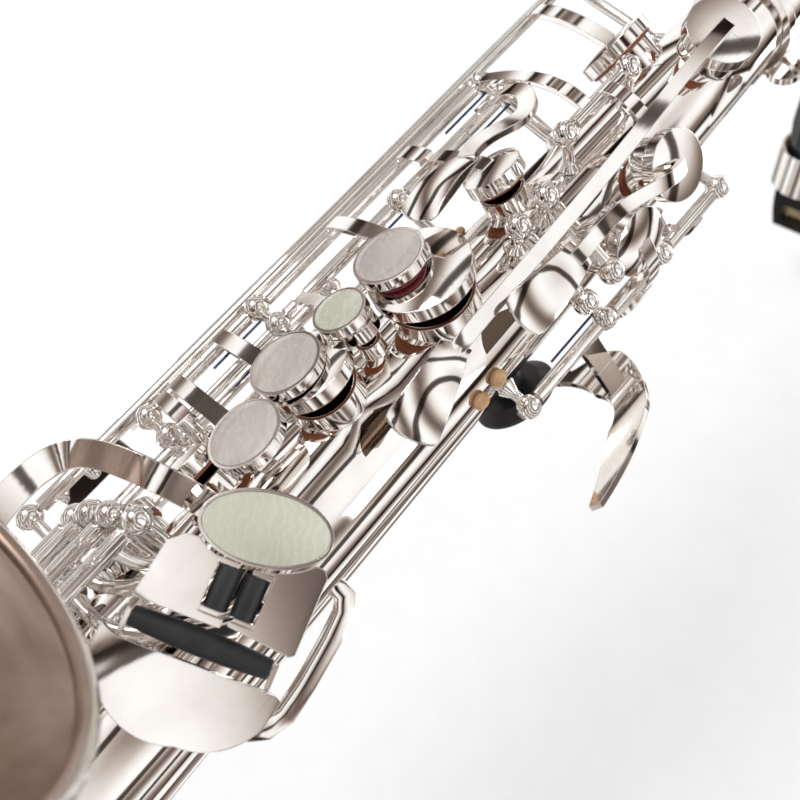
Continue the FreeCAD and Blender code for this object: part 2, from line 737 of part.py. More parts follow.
def bar_through(name, places, section, width_up=False):
    """A bar along a smooth line through points: section is a round bar's radius, or the width and
    thickness of a flat one, which faces out of the tube or has its width standing upright."""
    line = Part.BSplineCurve()
    line.interpolate(places)
    first, last = line.FirstParameter, line.LastParameter
    count = 3 * len(places)
    stations = []
    for step in range(count + 1):
        where = first + (last - first) * step / count
        centre = line.value(where)
        outward = Vector(centre.x, centre.y + size("ring_reach"), 0).normalize()
        stations.append((centre, line.tangent(where)[0], outward))
    steepest = min(way.cross(outward).Length for centre, way, outward in stations)
    carried = Vector(0, 0, 1) if width_up or steepest < 0.3 else None
    rings = []
    for centre, way, outward in stations:
        side = carried - way * way.dot(carried) if carried else way.cross(outward)
        side.normalize()
        lift = side.cross(way).normalize()
        carried = side if carried else None
        if isinstance(section, tuple):
            half, rise = section[0] / 2, section[1] / 2
            corners = [centre + side * a * half + lift * b * rise
                       for a, b in ((-1, -1), (1, -1), (1, 1), (-1, 1))]
            rings.append(Part.makePolygon(corners + corners[:1]))
        else:
            rings.append(ring_at(section, centre, way, side))
    return formed(name, loft(rings))


def sweep(name, points, section, width_up=False):
    """A bar through places given as (azimuth, reach, drop)."""
    return bar_through(name, [spot(*point) for point in points], section, width_up)


def tube_shadow(name, top, bottom):
    """The body tube's outside with a hair of clearance, to trim what stands on it."""
    low = tube_radius(bottom) + 0.02
    high = tube_radius(top) + 0.02
    return cone(name, low, high, bottom - top, upright(0, 0, bottom))


def bell_brace():
    """Flat strap that arches from the front of the body, round the table's posts, to the bell's back."""
    strap = sweep("bell_brace_strap", [(2, 20.5, 221), (0, 30, 221), (-12, 41, 224), (-30, 50, 233),
                                       (-24, 53.5, 247), (-9, 55.6, 260)], (6.0, 1.6), width_up=True)
    foot = cylinder("bell_brace_foot", "4.0", "4.0", facing(2, tube_radius(221) - 1.5, 221))
    pad = cylinder("bell_brace_pad", "4.6", "3.0", facing(-8, 54.2, 262.5))
    trim = tube_shadow("bell_brace_seat", 200.0, 240.0)
    whole = fuse("bell_brace_whole", [strap, foot, pad])
    body_trimmed = cut("bell_brace_trimmed", whole, trim)
    doc.recompute()
    core = Part.makeCone(46.0, 60.2, 40.0)
    core.Placement = bell_place(192.0)
    shape = body_trimmed.Shape.cut(core)
    solids = sorted(shape.Solids, key=lambda solid: solid.Volume)
    return formed("bell_brace", solids[-1])


# ---------------------------------------------------------------- touches

def teardrop(name, length, big, small, place, thickness=2.4, crown=26.0):
    """A domed touch: two unequal round ends joined by straight sides, lower end at local zero."""
    lean = math.asin((big - small) / length)
    low_side = (big * math.cos(lean), big * math.sin(lean))
    high_side = (small * math.cos(lean), length + small * math.sin(lean))
    outline = [high_side, (0, length + small, -high_side[0], high_side[1]),
               (-low_side[0], low_side[1]), (0, -big) + low_side]
    blank = plate(name + "_blank", outline, thickness, place)
    dome = ball(name + "_dome", crown, place.multiply(
        Placement(Vector(0, length * 0.4, thickness - crown), Rotation())))
    item = doc.addObject("Part::Common", name)
    item.Base = blank
    item.Tool = dome
    return item


def finish_key(node, tube, pieces, move=None):
    """One rigid key: its tube and pieces joined, the bore cut through, and the whole moved from its
    closed place to where it rests."""
    outer, bore = tube
    key = cut(node, fuse(node + "_whole", [outer] + pieces), bore)
    if move is not None:
        key.Placement = move
    return key


def key_with_pads(node, tube, pieces, soft, move=None):
    """A key whose pad and pearl stay separate solids of the same node."""
    key = gather(node, [finish_key(node + "_metal", tube, pieces)] + soft)
    if move is not None:
        key.Placement = move
    return keep(key)


def rest(move, place):
    """A place given where the key rests, carried back to where the key is closed."""
    return move.inverse().multiply(place)


def upright_move(line, degrees):
    """Opening swing about an upright rod for a cup on the side of growing azimuth."""
    return swing(spot(line[0], line[1], 0), DOWN, degrees)


NODES = {}


def keep(item):
    NODES[item.Label] = item
    return item


PEARLS = {
    # name: (sideways place, height of the pearl's face, drop, radius)
    "b": (0.0, 35.3, 154.0, "pearl_radius"), "bis": (0.0, 34.6, 171.0, "pearl_small"),
    "a": (0.0, 35.3, 188.0, "pearl_radius"), "g": (5.4, 34.4, 205.2, "pearl_radius"),
}
OPENING = {"b": 5.3, "a": 5.3, "c": 6.0, "bis": 4.6, "g": 5.0}   # how far each stands open, degrees
OWN_PADS = ("b", "a", "c")          # notes whose pad is a node of its own
STEMS = {                           # post from cup to arm: radius, height, its place on the cup
    "g": ("2.0", "5.8", Vector(-2.6, 6.2, 3.8)), "bis": ("1.6", "2.6", Vector(0, 0, 3.8)),
}


def pearl_place(name):
    side, face, drop, radius = PEARLS[name]
    base = face - 0.5 - size("holder_wall") - size("pearl_depth")
    turn = facing(STACK, 0, drop).Rotation
    return Placement(spot(STACK, 0, drop) + turn.multVec(Vector(side, 0, base)), turn)


def stack_ribbon(name, move, drop, points, width=None):
    width = width or size("arm_width")
    place = rest(move, across(STACK, drop))
    return ribbon(name, points, size("arm_thickness"), width, place)


def finger_key(node, hole, line, top, bottom, arms, pearl_name=None):
    """An upper-stack key: hinge tube, cup, bent arms and, on most, a pearl in its dish."""
    move = upright_move(line, OPENING[hole])
    azimuth, drop, bore = HOLES[hole]
    seat = facing(azimuth, seat_reach(hole), drop)
    tube = hinge_tube(node + "_tube", line, top, bottom)
    pieces = [cup(node + "_cup", bore, seat, 0.0 if hole == "bis" else 1.0)]
    if hole in STEMS:
        radius, height, foot = STEMS[hole]
        pieces.append(cylinder(node + "_stem", radius, height, seat.multiply(Placement(foot, Rotation()))))
    for index, (arm_drop, points, width) in enumerate(arms):
        pieces.append(stack_ribbon("%s_arm_%d" % (node, index), move, arm_drop, points, width))
    if pearl_name:
        radius = PEARLS[pearl_name][3]
        pieces.append(pearl_holder(node + "_dish", radius, rest(move, pearl_place(pearl_name))))
        keep(pearl(pearl_name + "_pearl", radius, pearl_place(pearl_name)))
    if hole in OWN_PADS:
        keep(finish_key(node, tube, pieces, move))
        keep(pad(hole + "_pad", bore, move.multiply(seat)))
    else:
        key_with_pads(node, tube, pieces, [pad(hole + "_pad", bore, seat)], move)


def upper_stack():
    finger_key("b_key", "b", OUTER, 91.2, 174.8, [
        (148.0, [(-34, 28.2), (-27, 30.1), (-16, 31.2), (-6, 31.4), (4, 31.3)], 4.4),
        (120.0, [(-34, 28.0), (-29, 28.9), (-24, 28.6)], 5.0)], "b")
    finger_key("a_key", "a", OUTER, 181.2, 197.0, [
        (190.0, [(-34, 28.2), (-27, 30.0), (-16, 31.0), (-6, 31.3), (4, 31.3)], 4.4)], "a")
    finger_key("g_key", "g", OUTER, 197.0, 212.8, [
        (205.5, [(-34, 28.2), (-27, 29.8), (-15, 30.3), (-4, 30.6), (6, 30.6)], 4.4),
        (210.6, [(-34, 28.0), (-26, 29.6), (-15, 29.2)], 4.0)], "g")
    finger_key("bis_key", "bis", INNER, 135.2, 174.8, [
        (169.7, [(-26, 25.7), (-18, 27.8), (-9, 30.2), (2, 30.9)], 3.4)], "bis")
    finger_key("c_key", "c", INNER, 105.0, 128.8, [
        (117.0, [(-26, 25.6), (-19, 27.4), (-11, 28.0), (-3, 27.6)], 4.4)])


def front_f():
    """The front F touch on the upper rod, and the link it presses to lift the palm F key."""
    touch_place = facing(-14.5, 38.4, 141.0).multiply(Placement(Vector(0, 0, -2.0), Rotation()))
    touch = teardrop("front_f_blade", 20.0, 5.8, 2.6, touch_place, 2.6)
    arm = sweep("front_f_arm", [(-15.0, 37.0, 124), (-14.5, 36.6, 114), (-14.0, 34.6, 104),
                                (-22.0, 35.0, 98.6), (-42, 35.6, 97.0), (-58, 36.8, 96.6)], (4.6, 1.7))
    tube = hinge_tube("front_f_tube", INNER, 91.2, 105.0)
    keep(finish_key("front_f_touch", tube, [touch, arm]))
    link_tube = hinge_tube("front_f_link_tube", LINK, 78.2, 97.0)
    band = ribbon("front_f_band", [(6.6, 27.4), (1, 31.6), (-8, 33.6), (-18, 33.0), (-27, 31.2)],
                  1.3, 3.6, across(STACK, 91.6))
    finger = sweep("front_f_finger", [(0, 28.4, 84.5), (10, 28.4, 84.5), (23, 26.2, 84.5)], (4.0, 1.4))
    keep(finish_key("front_f_lever", link_tube, [band, finger]))


CHORD = 22.96                       # reach of the cross rods under the palm keys
PALM_TURN = 43.0


def palm_keys():
    """Three closed keys for the highest notes: each touch lifts its cup like a seesaw."""
    blade = teardrop("palm_f_blade", 20.5, 6.0, 3.1, facing(34, 37.4, 182.5, 14).multiply(
        Placement(Vector(3.0, 0, 0), Rotation())), 2.6)
    bar = sweep("palm_f_bar", [(32.6, 37.6, 168), (32.0, 34.2, 152), (31.2, 30.4, 127), (28.4, 28.4, 90),
                               (25.2, 26.6, 64), (24.0, 23.8, 46)], (3.6, 2.0))
    web = sweep("palm_f_web", [(31.2, 23.6, 127.5), (31.2, 27, 127.5), (31.2, 30.2, 127.5)], 1.6)
    seat = facing(24.0, seat_reach("palm_f"), 47.0)
    tube = cross_tube("palm_f_tube", PALM_TURN, CHORD, 127.5, 9.0)
    keep(finish_key("palm_f_key", tube, [web, bar, blade, cup("palm_f_cup", HOLES["palm_f"][2], seat, 0.3)]))
    keep(pad("palm_f_pad", HOLES["palm_f"][2], seat))

    blade = teardrop("palm_eb_blade", 18.5, 5.6, 3.4, facing(43, 37.6, 146.0).multiply(
        Placement(Vector(-1.0, 0, 0), Rotation())), 2.6)
    bar = sweep("palm_eb_bar", [(41.6, 38.2, 131), (42.0, 36.4, 121), (44.5, 32.8, 110), (52.0, 30.4, 97),
                                (60.0, 25.4, 84)], (3.4, 1.9))
    web = sweep("palm_eb_web", [(42.4, 24.0, 117), (42.4, 29, 117), (42.6, 34.6, 117)], 1.6)
    seat = facing(60.0, seat_reach("palm_eb"), 84.0)
    tube = cross_tube("palm_eb_tube", PALM_TURN, CHORD, 117.0, 9.0)
    lid = cup("palm_eb_cup", HOLES["palm_eb"][2], seat, 0.6)
    keep(finish_key("palm_eb_key", tube, [web, bar, blade, lid]))
    keep(pad("palm_eb_pad", HOLES["palm_eb"][2], seat))

    blade = teardrop("palm_d_blade", 12.0, 5.0, 3.2, facing(134, 28.4, 110.0), 2.4)
    azimuth, drop, bore = HOLES["palm_d"]
    bar = sweep("palm_d_bar", [(76, 25.4, drop), (86, 26.6, drop), (99, 27.8, drop), (112, 28.0, drop),
                               (122, 29.0, drop), (132, 29.6, drop)], (4.4, 1.8))
    web = sweep("palm_d_web", [(112, 26.0, drop), (112, 27.0, drop), (112, 28.2, drop)], 1.7)
    seat = facing(azimuth, seat_reach("palm_d"), drop)
    tube = hinge_tube("palm_d_tube", OCTAVE, 97.7, 116.3)
    keep(finish_key("palm_d_key", tube, [web, bar, blade, cup("palm_d_cup", bore, seat, 1.2)]))
    keep(pad("palm_d_pad", bore, seat))


def octave_keys():
    """Thumb lever round the thumb rest, and the key of the octave vent on the body."""
    lever_place = facing(150, 30.0, 150)
    outline = [(9.6, 1.6), (2.5, 15.6, -7.0, 18.8), (-12.0, 27.6), (-17.0, 28.6),
               (-30.0, 22.0, -36.6, 15.4), (-41.5, 4.0, -45.2, -13.4), (-43.4, -15.4),
               (-37.8, -4.0, -33.0, 4.4), (-27.0, 12.5, -20.0, 13.6), (-4.0, 13.4, 8.4, -1.2)]
    blade = plate("octave_blade", outline, 1.8, lever_place)
    tube = hinge_tube("octave_tube", OCTAVE, 122.5, 148.0)
    web = block("octave_web", "2.2", "6.0", "9.2",
                lever_place.multiply(Placement(Vector(-16.8, 19.5, -8.7), Rotation())))
    keep(finish_key("octave_lever", tube, [web, blade]))
    azimuth, drop, bore = HOLES["octave"]
    seat = facing(azimuth, seat_reach("octave"), drop)
    bar = sweep("octave_vent_bar", [(112, 27.0, 80), (124, 27.6, 80), (138, 26.0, 80), (150, 23.6, 80)],
                (3.6, 1.6))
    key_with_pads("octave_vent_key", hinge_tube("octave_vent_tube", OCTAVE, 71.2, 91.5),
                  [bar, cup("octave_vent_cup", bore, seat, 0.3)], [pad("octave_vent_pad", bore, seat)])


# ---------------------------------------------------------------- pinky table and the lowest keys

def table_place(along_table, down_table, lift, spin=0.0):
    """A place on the pinky table: local X runs along the table's top edge, local Y up it, local Z out."""
    turn = math.radians(size("table_turn"))
    side = size("table_side") + along_table * math.cos(turn) + down_table * math.sin(turn)
    drop = size("table_drop") - along_table * math.sin(turn) + down_table * math.cos(turn)
    azimuth = size("table_azimuth")
    face = facing(azimuth, size("table_reach"), drop, size("table_turn") + spin)
    shift = facing(azimuth, 0, drop).Rotation.multVec(Vector(side, 0, lift))
    return Placement(face.Base + shift, face.Rotation)


def roller(name, radius, belly, length, place):
    """A roller: radius at the ends, a fuller belly, bored for its axle, its axis along local Z."""
    half = length / 2
    side = (belly, 0.01, radius, half) if belly > radius else (radius, half)
    outline = [("axle_radius + rod_clearance", -half), (radius, -half), side, ("axle_radius + rod_clearance", half)]
    return lathe(name, outline, place)


def roller_mount(name, length, place, away):
    """A roller's axle and the two lugs that tie it to its key's plate, which lies `away` along local X."""
    half = length / 2 + LUG_GAP
    pieces = [cylinder(name + "_axle", "axle_radius", 2 * half + 1.0, place.multiply(
        Placement(Vector(0, 0, -half - 0.5), Rotation())))]
    for number, start in enumerate((-half - LUG_THICK, half)):
        corner = Vector(min(away, 0) - (1.4 if away > 0 else 0.0), -1.3, start)
        pieces.append(block("%s_lug_%d" % (name, number), abs(away) + 1.4, "2.2", LUG_THICK,
                            place.multiply(Placement(corner, Rotation()))))
    return pieces


LUG_GAP = 0.2                       # play between a roller's end and its lug
LUG_THICK = 1.1


def lying(place):
    return place.multiply(Placement(Vector(0, 0, 0), Rotation(Vector(0, 1, 0), 90)))


def low_tube(node, index, top, bottom):
    return hinge_tube(node + "_tube", LOW[index], top, bottom)


def table_plate(name, outline):
    return plate(name, outline, "plate_thickness", table_place(0, 0, -size("plate_thickness")))


def table_keys():
    """The four keys under the left little finger, each a plate on its own long tube."""
    # G sharp: an oval pearl in a dish
    dish = oval("gs_dish", 13.7, 7.8, 3.2, oval_place(0))
    dish = dish.cut(oval("gs_hollow", 13.0, 7.1, 3.2, oval_place(0.9)))
    keep(formed("gs_pearl", oval("gs_face", 12.9, 7.0, 2.1, oval_place(0.96))))
    azimuth, drop, bore = HOLES["gs"]
    seat = facing(azimuth, seat_reach("gs"), drop)
    arm = sweep("gs_arm", [(-8, 35.4, 239.5), (2, 29.2, 236), (13, 27.8, 227), (22, 30.2, 218)], 1.6)
    back = sweep("gs_back_arm", [(-8, 35.6, 241.5), (-13, 31.8, 241.5), (-20, 30.2, 242.2), (-31, 30.0, 245.5),
                                 (-42.5, 30.0, 248.5), (-55, 29.8, 246.5), (-69, 29.6, 243)], (3.6, 1.6))
    key_with_pads("gs_key", low_tube("gs_key", 0, 235.4, 262),
                  [formed("gs_dish", dish), arm, back, cup("gs_cup", bore, seat)], [pad("gs_pad", bore, seat)])
    # C sharp
    short = size("roller_radius")
    outline = [(-19.0, -4.6), (-17.2, 7.4), (-14.6, 9.9), (-8.4, 9.6, -6.3, 8.4), (-6.3, -2.6), (-1.0, -2.6),
               (-1.0, -4.3)]
    cs_roller_place = tilt_roller(table_place(-3.5, -2.9, ROLLER_SINK - short))
    blade = clear_of_oval("low_cs_blade", table_plate("low_cs_plate", outline))
    arm = sweep("low_cs_arm", [(-19.5, 35.4, 247.5), (-11, 31.0, 247), (-2, 30.2, 244), (6, 30.4, 239),
                               (12, 32.8, 235)], 1.5)
    azimuth, drop, bore = HOLES["low_cs"]
    seat = facing(azimuth, seat_reach("low_cs"), drop)
    back = sweep("low_cs_back", [(-19.5, 37.8, drop), (-30, 39.2, drop), (-42, 38.8, drop), (-55, 37.6, drop)],
                 (4.6, 1.8))
    key_with_pads("low_cs_key", low_tube("low_cs_key", 1, 238.7, 463.0),
                  [blade, arm, back, cup("low_cs_cup", bore, seat)]
                  + roller_mount("low_cs", SHORT_ROLLER, cs_roller_place, -3.4), [pad("low_cs_pad", bore, seat)])
    keep(roller("low_cs_roller", short, short, SHORT_ROLLER, cs_roller_place))
    # B
    b_roller_place = tilt_roller(table_place(2.1, -2.9, ROLLER_SINK - short))
    outline = [(0.2, -3.4), (13.6, -4.6), (14.6, -3.8), (14.9, 12.0), (13.8, 13.4), (7.0, 12.2, 3.0, 9.2),
               (3.2, 8.6), (5.0, 8.6), (5.0, -2.4), (0.2, -2.4)]
    blade = clear_of_oval("low_b_blade", table_plate("low_b_plate", outline))
    arm = sweep("low_b_arm", [(-31, 35.4, 253), (-18, 29.6, 253), (0, 26.6, 252), (14, 25.6, 248),
                              (28, 25.4, 241), (40, 26.8, 233), (46, 32.2, 227)], 1.5)
    key_with_pads("low_b_key", low_tube("low_b_key", 2, 242.1, 437.0), [blade, arm] + bell_arm("low_b", 2)
                  + roller_mount("low_b", SHORT_ROLLER, b_roller_place, 3.4), [bell_pad("low_b")])
    keep(roller("low_b_roller", short, short, SHORT_ROLLER, b_roller_place))
    # B flat
    outline = [(-18.6, -12.4), (14.4, -12.0), (15.4, -12.6), (14.2, -18.4),
               (8.0, -25.0, 0.0, -27.0), (-11.0, -27.0, -16.8, -23.4), (-20.8, -18.6, -22.0, -11.0)]
    arm = sweep("low_bb_arm", [(-42.5, 35.4, 259.5), (-28, 30.0, 259.5), (-10, 28.8, 258.5), (6, 30.2, 256),
                               (16, 33.0, 253)], 1.5)
    bb_roller_place = lying(table_place(-3.2, 8.3, 0.1 - size("long_roller_radius")))
    lugs = roller_mount("low_bb", LONG_ROLLER, bb_roller_place.multiply(
        Placement(Vector(0, 0, 0), Rotation(Vector(0, 0, 1), 90))), -4.4)
    key_with_pads("low_bb_key", low_tube("low_bb_key", 3, 245.5, 394.6),
                  [table_plate("low_bb_plate", outline), arm] + bell_arm("low_bb", 3) + lugs,
                  [bell_pad("low_bb")])
    keep(roller("low_bb_roller", 2.0, size("long_roller_radius"), LONG_ROLLER, bb_roller_place))


SHORT_ROLLER = 8.4
LONG_ROLLER = 29.0


ROLLER_SINK = 0.7                   # how far a short roller stands above the table's face
OVAL_GAP = 0.7                      # clearance round the G sharp dish


def oval_place(lift):
    """The G sharp touch's own plane, a little below the table's face."""
    return table_place(-0.2, -16.6, -3.2, 10.0).multiply(Placement(Vector(0, 0, lift), Rotation()))


def clear_of_oval(name, blade):
    """A table plate with its upper edge cut back round the oval touch."""
    tool = formed(name + "_tool", oval("tool", 13.7 + OVAL_GAP, 7.8 + OVAL_GAP, 14.0, oval_place(-5.0)))
    return cut(name, blade, tool)


def tilt_roller(place):
    """Stand a short roller's axis along the table's own up direction."""
    return place.multiply(Placement(Vector(0, 0, 0), Rotation(Vector(1, 0, 0), -90)))


def oval(name, half_length, half_width, thickness, place):
    line = Part.Ellipse(Vector(0, 0, 0), half_length, half_width).toShape()
    shape = Part.Face(Part.Wire(line)).extrude(Vector(0, 0, thickness))
    shape.Placement = place
    return shape


def bell_arm(note, index):
    """The arm that carries a bell key's cup out from its long tube, and the cup."""
    seat = bell_hole_place(note)
    top = seat.multVec(Vector(0, 0, 6.0))
    azimuth, reach = LOW[index]
    start = spot(azimuth, reach, size("ring_drop") - top.z)
    middle = (start + top) * 0.5 + Vector(-6.5, 2.0, 0)
    arm = bar_through(note + "_bell_arm", [start + Vector(-1.0, -0.6, 0), middle, top], 1.9)
    return [arm, cup(note + "_cup", BELL_HOLES[note][2], seat)]


def bell_pad(note):
    return pad(note + "_pad", BELL_HOLES[note][2], bell_hole_place(note))


# ---------------------------------------------------------------- lower stack, foot and side keys

LOWER_PEARLS = {"f": 264.5, "e": 291.0, "d": 323.0}
LOWER_TUBES = {"f": (253.2, 283.0), "e": (283.0, 316.0), "d": (316.0, 348.8)}


def lower_stack():
    """F, E and D keys: open cups with pearls for the right hand."""
    move = upright_move(RIGHT, 5.0)
    for note, pearl_drop in LOWER_PEARLS.items():
        node = note + "_key"
        azimuth, drop, bore = HOLES[note]
        seat = facing(azimuth, seat_reach(note), drop)
        lift = seat_reach(note) + 5.6
        top, bottom = LOWER_TUBES[note]
        arm = sweep(node + "_arm", [(-112, 39.4, drop), (-102, 39.0, drop), (-90, 35.6, drop),
                                    (-76, lift, drop)], (4.6, 1.8))
        dish_place = facing(-76, lift + 0.2, pearl_drop)
        spine = sweep(node + "_spine", [(-76, lift - 0.1, drop), (-76, lift - 0.1, (drop + pearl_drop) / 2),
                                        (-76, lift, pearl_drop)], (5.0, 1.4))
        key_with_pads(node, hinge_tube(node + "_tube", RIGHT, top, bottom),
                      [cup(node + "_cup", bore, seat), arm, spine,
                       pearl_holder(node + "_dish", "pearl_radius", dish_place)],
                      [pad(node + "_pad", bore, seat), pearl(node + "_pearl", "pearl_radius", dish_place)], move)


def foot_keys():
    """Low E flat, closed, and low C, open, on one rod with two touches."""
    line = FOOT_LINE
    for note, touch_drop, top, bottom, degrees in (("low_eb", 362.0, 355.4, 404.0, 0.0),
                                                   ("low_c", 378.0, 404.0, 441.6, 5.0)):
        node = note + "_key"
        azimuth, drop, bore = HOLES[note]
        seat = facing(azimuth, seat_reach(note), drop)
        lift = seat_reach(note) + 5.4
        arm = sweep(node + "_arm", [(-112, 45.6, drop), (-100, 44.0, drop), (-88, 39.5, drop), (-74, lift, drop)],
                    (5.0, 1.9))
        key_with_pads(node, hinge_tube(node + "_tube", line, top, bottom),
                      [cup(node + "_cup", bore, seat), arm] + foot_touch(node, touch_drop),
                      [pad(node + "_pad", bore, seat)], upright_move(line, degrees))


def foot_touch(node, drop):
    """The touch of a foot key: a rounded plate on the outer side of its rod."""
    outline = [(-9, -5), (-6, -6.6), (6, -6.6), (9, -5), (9, 5), (6, 6.6), (-6, 6.6), (-9, 5)]
    place = facing(-134, 49.5, drop)
    start = 408.0 if node == "low_c_key" else 374.0
    bar = sweep(node + "_touch_arm", [(-113, 45.4, start), (-121, 49.6, (start + drop) / 2 + 2),
                                      (-132, 50.2, drop)], (4.4, 1.8))
    return [plate(node + "_touch", outline, 1.8, place), bar]


SIDE_KEYS = (
    # note, rod, ends of the tube, azimuth and drop of the touch, the arm's places out to the cup
    ("high_e", SIDE, 44.2, 248.8, -86.0, 236.0,
     [(-71.3, 49.2, 57), (-66, 44, 57), (-58, 33, 57), (-51, 24.2, 57)]),
    ("side_bb", SIDE_B, 161.2, 248.8, -80.0, 211.0,
     [(-86, 40.2, 172), (-96, 41.0, 172), (-112, 36, 172), (-132, 27.6, 172)]),
    ("side_c", SIDE_C, 135.2, 248.8, -82.0, 186.0,
     [(-96, 37.0, 146), (-106, 35.6, 146), (-118, 31, 146), (-132, 26.6, 146)]),
)
SIDE_TOUCH_REACH = 51.0


def side_keys():
    """High E, side C and side B flat: closed keys worked from long tubes on the right."""
    outline = [(-4.0, -10.5), (4.0, -10.5), (4.0, 10.5), (-4.0, 10.5)]
    for note, line, top, bottom, touch, drop, points in SIDE_KEYS:
        node = note + "_key"
        azimuth, level, bore = HOLES[note]
        seat = facing(azimuth, seat_reach(note), level)
        blade = plate(node + "_blade", outline, 1.8, facing(touch, SIDE_TOUCH_REACH, drop))
        lever = sweep(node + "_touch_arm", [(line[0], line[1] + 1.2, drop),
                                            ((3 * line[0] + touch) / 4, (line[1] + SIDE_TOUCH_REACH) / 2 + 1, drop),
                                            (touch, SIDE_TOUCH_REACH + 0.4, drop)], 1.7)
        tube = hinge_tube(node + "_tube", line, top, bottom)
        metal = [cup(node + "_cup", bore, seat), sweep(node + "_arm", points, (4.4, 1.8)), blade, lever]
        if note == "high_e":
            keep(finish_key(node, tube, metal))
            keep(pad("high_e_pad", bore, seat))
        else:
            key_with_pads(node, tube, metal, [pad(node + "_pad", bore, seat)])


# ---------------------------------------------------------------- posts, rods, springs, guards

POSTS = [
    (INNER, (88.0, 132.0, 178.0, 216.0)), (OUTER, (88.0, 178.0, 216.0)), (SIDE, (41.0, 252.4)),
    (OCTAVE, (68.0, 94.6, 119.4, 151.2)), (LINK, (75.0, 100.2)), (LOW[0], (232.2, 265.3)),
    (LOW[1], (235.5, 466.3)), (LOW[2], (238.9, 440.3)), (LOW[3], (242.3, 397.9)),
    (SIDE_B, (158.0, 252.0)), (SIDE_C, (132.0, 252.0)), (RIGHT, (250.0, 352.0)),
    (FOOT_LINE, (352.2, 444.8)),
]
CROSS = (117.0, 127.5)              # drops of the two cross rods under the palm keys
CHORD_HALF = 12.2


def post(name, azimuth, reach, drop):
    """A ball on a stem with a flared foot, standing out of the tube."""
    surface = tube_radius(drop) - 1.2
    foot = cone(name + "_foot", "foot_radius", "stem_radius", "foot_height + 2.4",
                facing(azimuth, surface, drop))
    stem = cylinder(name + "_stem", "stem_radius", reach - surface, facing(azimuth, surface, drop))
    return [foot, stem, ball(name + "_ball", "ball_radius", facing(azimuth, reach, drop))]


def key_posts():
    pieces = []
    bores = [tube_shadow("posts_seat", 0.0, size("tube_length"))]
    for number, (line, drops) in enumerate(POSTS):
        for place, drop in enumerate(drops):
            pieces += post("post_%d_%d" % (number, place), line[0], line[1], drop)
        length = drops[-1] - drops[0] + 12.0
        bores.append(cylinder("post_bore_%d" % number, "rod_radius + 0.02", length,
                              upright(line[0], line[1], drops[-1] + 6.0)))
    for number, drop in enumerate(CROSS):
        reach = math.hypot(CHORD, CHORD_HALF)
        spread = math.degrees(math.atan2(CHORD_HALF, CHORD))
        for side in (-1, 1):
            pieces += post("palm_post_%d_%d" % (number, side + 1), PALM_TURN + side * spread, reach, drop)
        bores.append(cylinder("palm_bore_%d" % number, "rod_radius + 0.02", 40.0,
                              cross_place(PALM_TURN, CHORD, drop, -20.0)))
    for hole, (azimuth, drop, bore) in HOLES.items():
        bores.append(cylinder("post_gap_" + hole, bore + size("chimney_wall") + 0.02, seat_reach(hole),
                              facing(azimuth, 0, drop)))
    return cut("key_posts", fuse("posts_whole", pieces), fuse("posts_cuts", bores))


def hinge_rods():
    rods = []
    for number, (line, drops) in enumerate(POSTS):
        length = drops[-1] - drops[0] + 5.4
        foot = upright(line[0], line[1], drops[-1] + 2.7)
        rods.append(cylinder("rod_%d" % number, "rod_radius", length, foot))
    for number, drop in enumerate(CROSS):
        rods.append(cylinder("palm_rod_%d" % number, "rod_radius", 2 * CHORD_HALF + 5.0,
                             cross_place(PALM_TURN, CHORD, drop, -CHORD_HALF - 2.5)))
    place = neck_hinge()
    rods.append(cylinder("neck_rod", "0.9", "17.0", place.multiply(Placement(Vector(0, 0, -8.5), Rotation()))))
    return gather("hinge_rods", rods)


def needle_springs():
    """Thin steel springs that stand off the posts and return the keys."""
    springs = []
    for number, (line, drop) in enumerate(((INNER, 88.0), (INNER, 132.0), (INNER, 178.0), (OUTER, 88.0),
                                           (OUTER, 178.0), (OCTAVE, 119.4), (RIGHT, 250.0),
                                           (FOOT_LINE, 352.2))):
        springs.append(cylinder("spring_%d" % number, "0.35", "17.0",
                                upright(line[0], line[1] - 3.1, drop + 1.62 + 17.0)))
    return gather("needle_springs", springs)


GUARDS = {
    # name: (azimuth, drop, half span along the tube, height of the hoop)
    "low_eb": (-74.0, 387.0, 16.8, 46.5), "low_c": (-74.0, 426.0, 18.4, 47.5),
    "low_cs": (-52.0, 454.6, 13.9, 47.6),
}


BELL_GUARD_TOP = 15.0
BELL_GUARD_SHIFT = 6.0              # the bell's guards stand off the cup's middle, clear of its arm


def guard_curve(span, base, top):
    return [(-span, base), (-span * 0.94, base + (top - base) * 0.55), (-span * 0.55, top - 1.2), (0, top),
            (span * 0.55, top - 1.2), (span * 0.94, base + (top - base) * 0.55), (span, base)]


def key_guards():
    """Hoops over the low cups, soldered to the body, and one on each bell key."""
    hoops = []
    for note, (azimuth, drop, span, top) in GUARDS.items():
        base = tube_radius(drop) + 0.75
        hoop = ribbon("guard_" + note, guard_curve(span, base, top), 1.5, 5.0, along(azimuth, drop))
        hoops.append(cut("guard_cut_" + note, hoop, tube_shadow("guard_seat_" + note, drop - 40, drop + 40)))
    outside = bell_outside()
    for note in BELL_HOLES:
        seat = bell_hole_place(note)
        radius = cup_radius(BELL_HOLES[note][2])
        turn = Placement(Vector(0, 0, 0), Rotation(Vector(1, 1, 1), 120))
        hoop = ribbon("guard_" + note, guard_curve(radius + 3.4, -9.0, BELL_GUARD_TOP), 1.5, 5.0,
                      seat.multiply(Placement(Vector(BELL_GUARD_SHIFT, 0, 0), Rotation())).multiply(turn))
        shape = hoop.Shape.cut(outside)
        solids = sorted(shape.Solids, key=lambda solid: solid.Volume)
        hoops.append(formed("guard_trimmed_" + note, solids[-1]))
    return gather("key_guards", hoops)


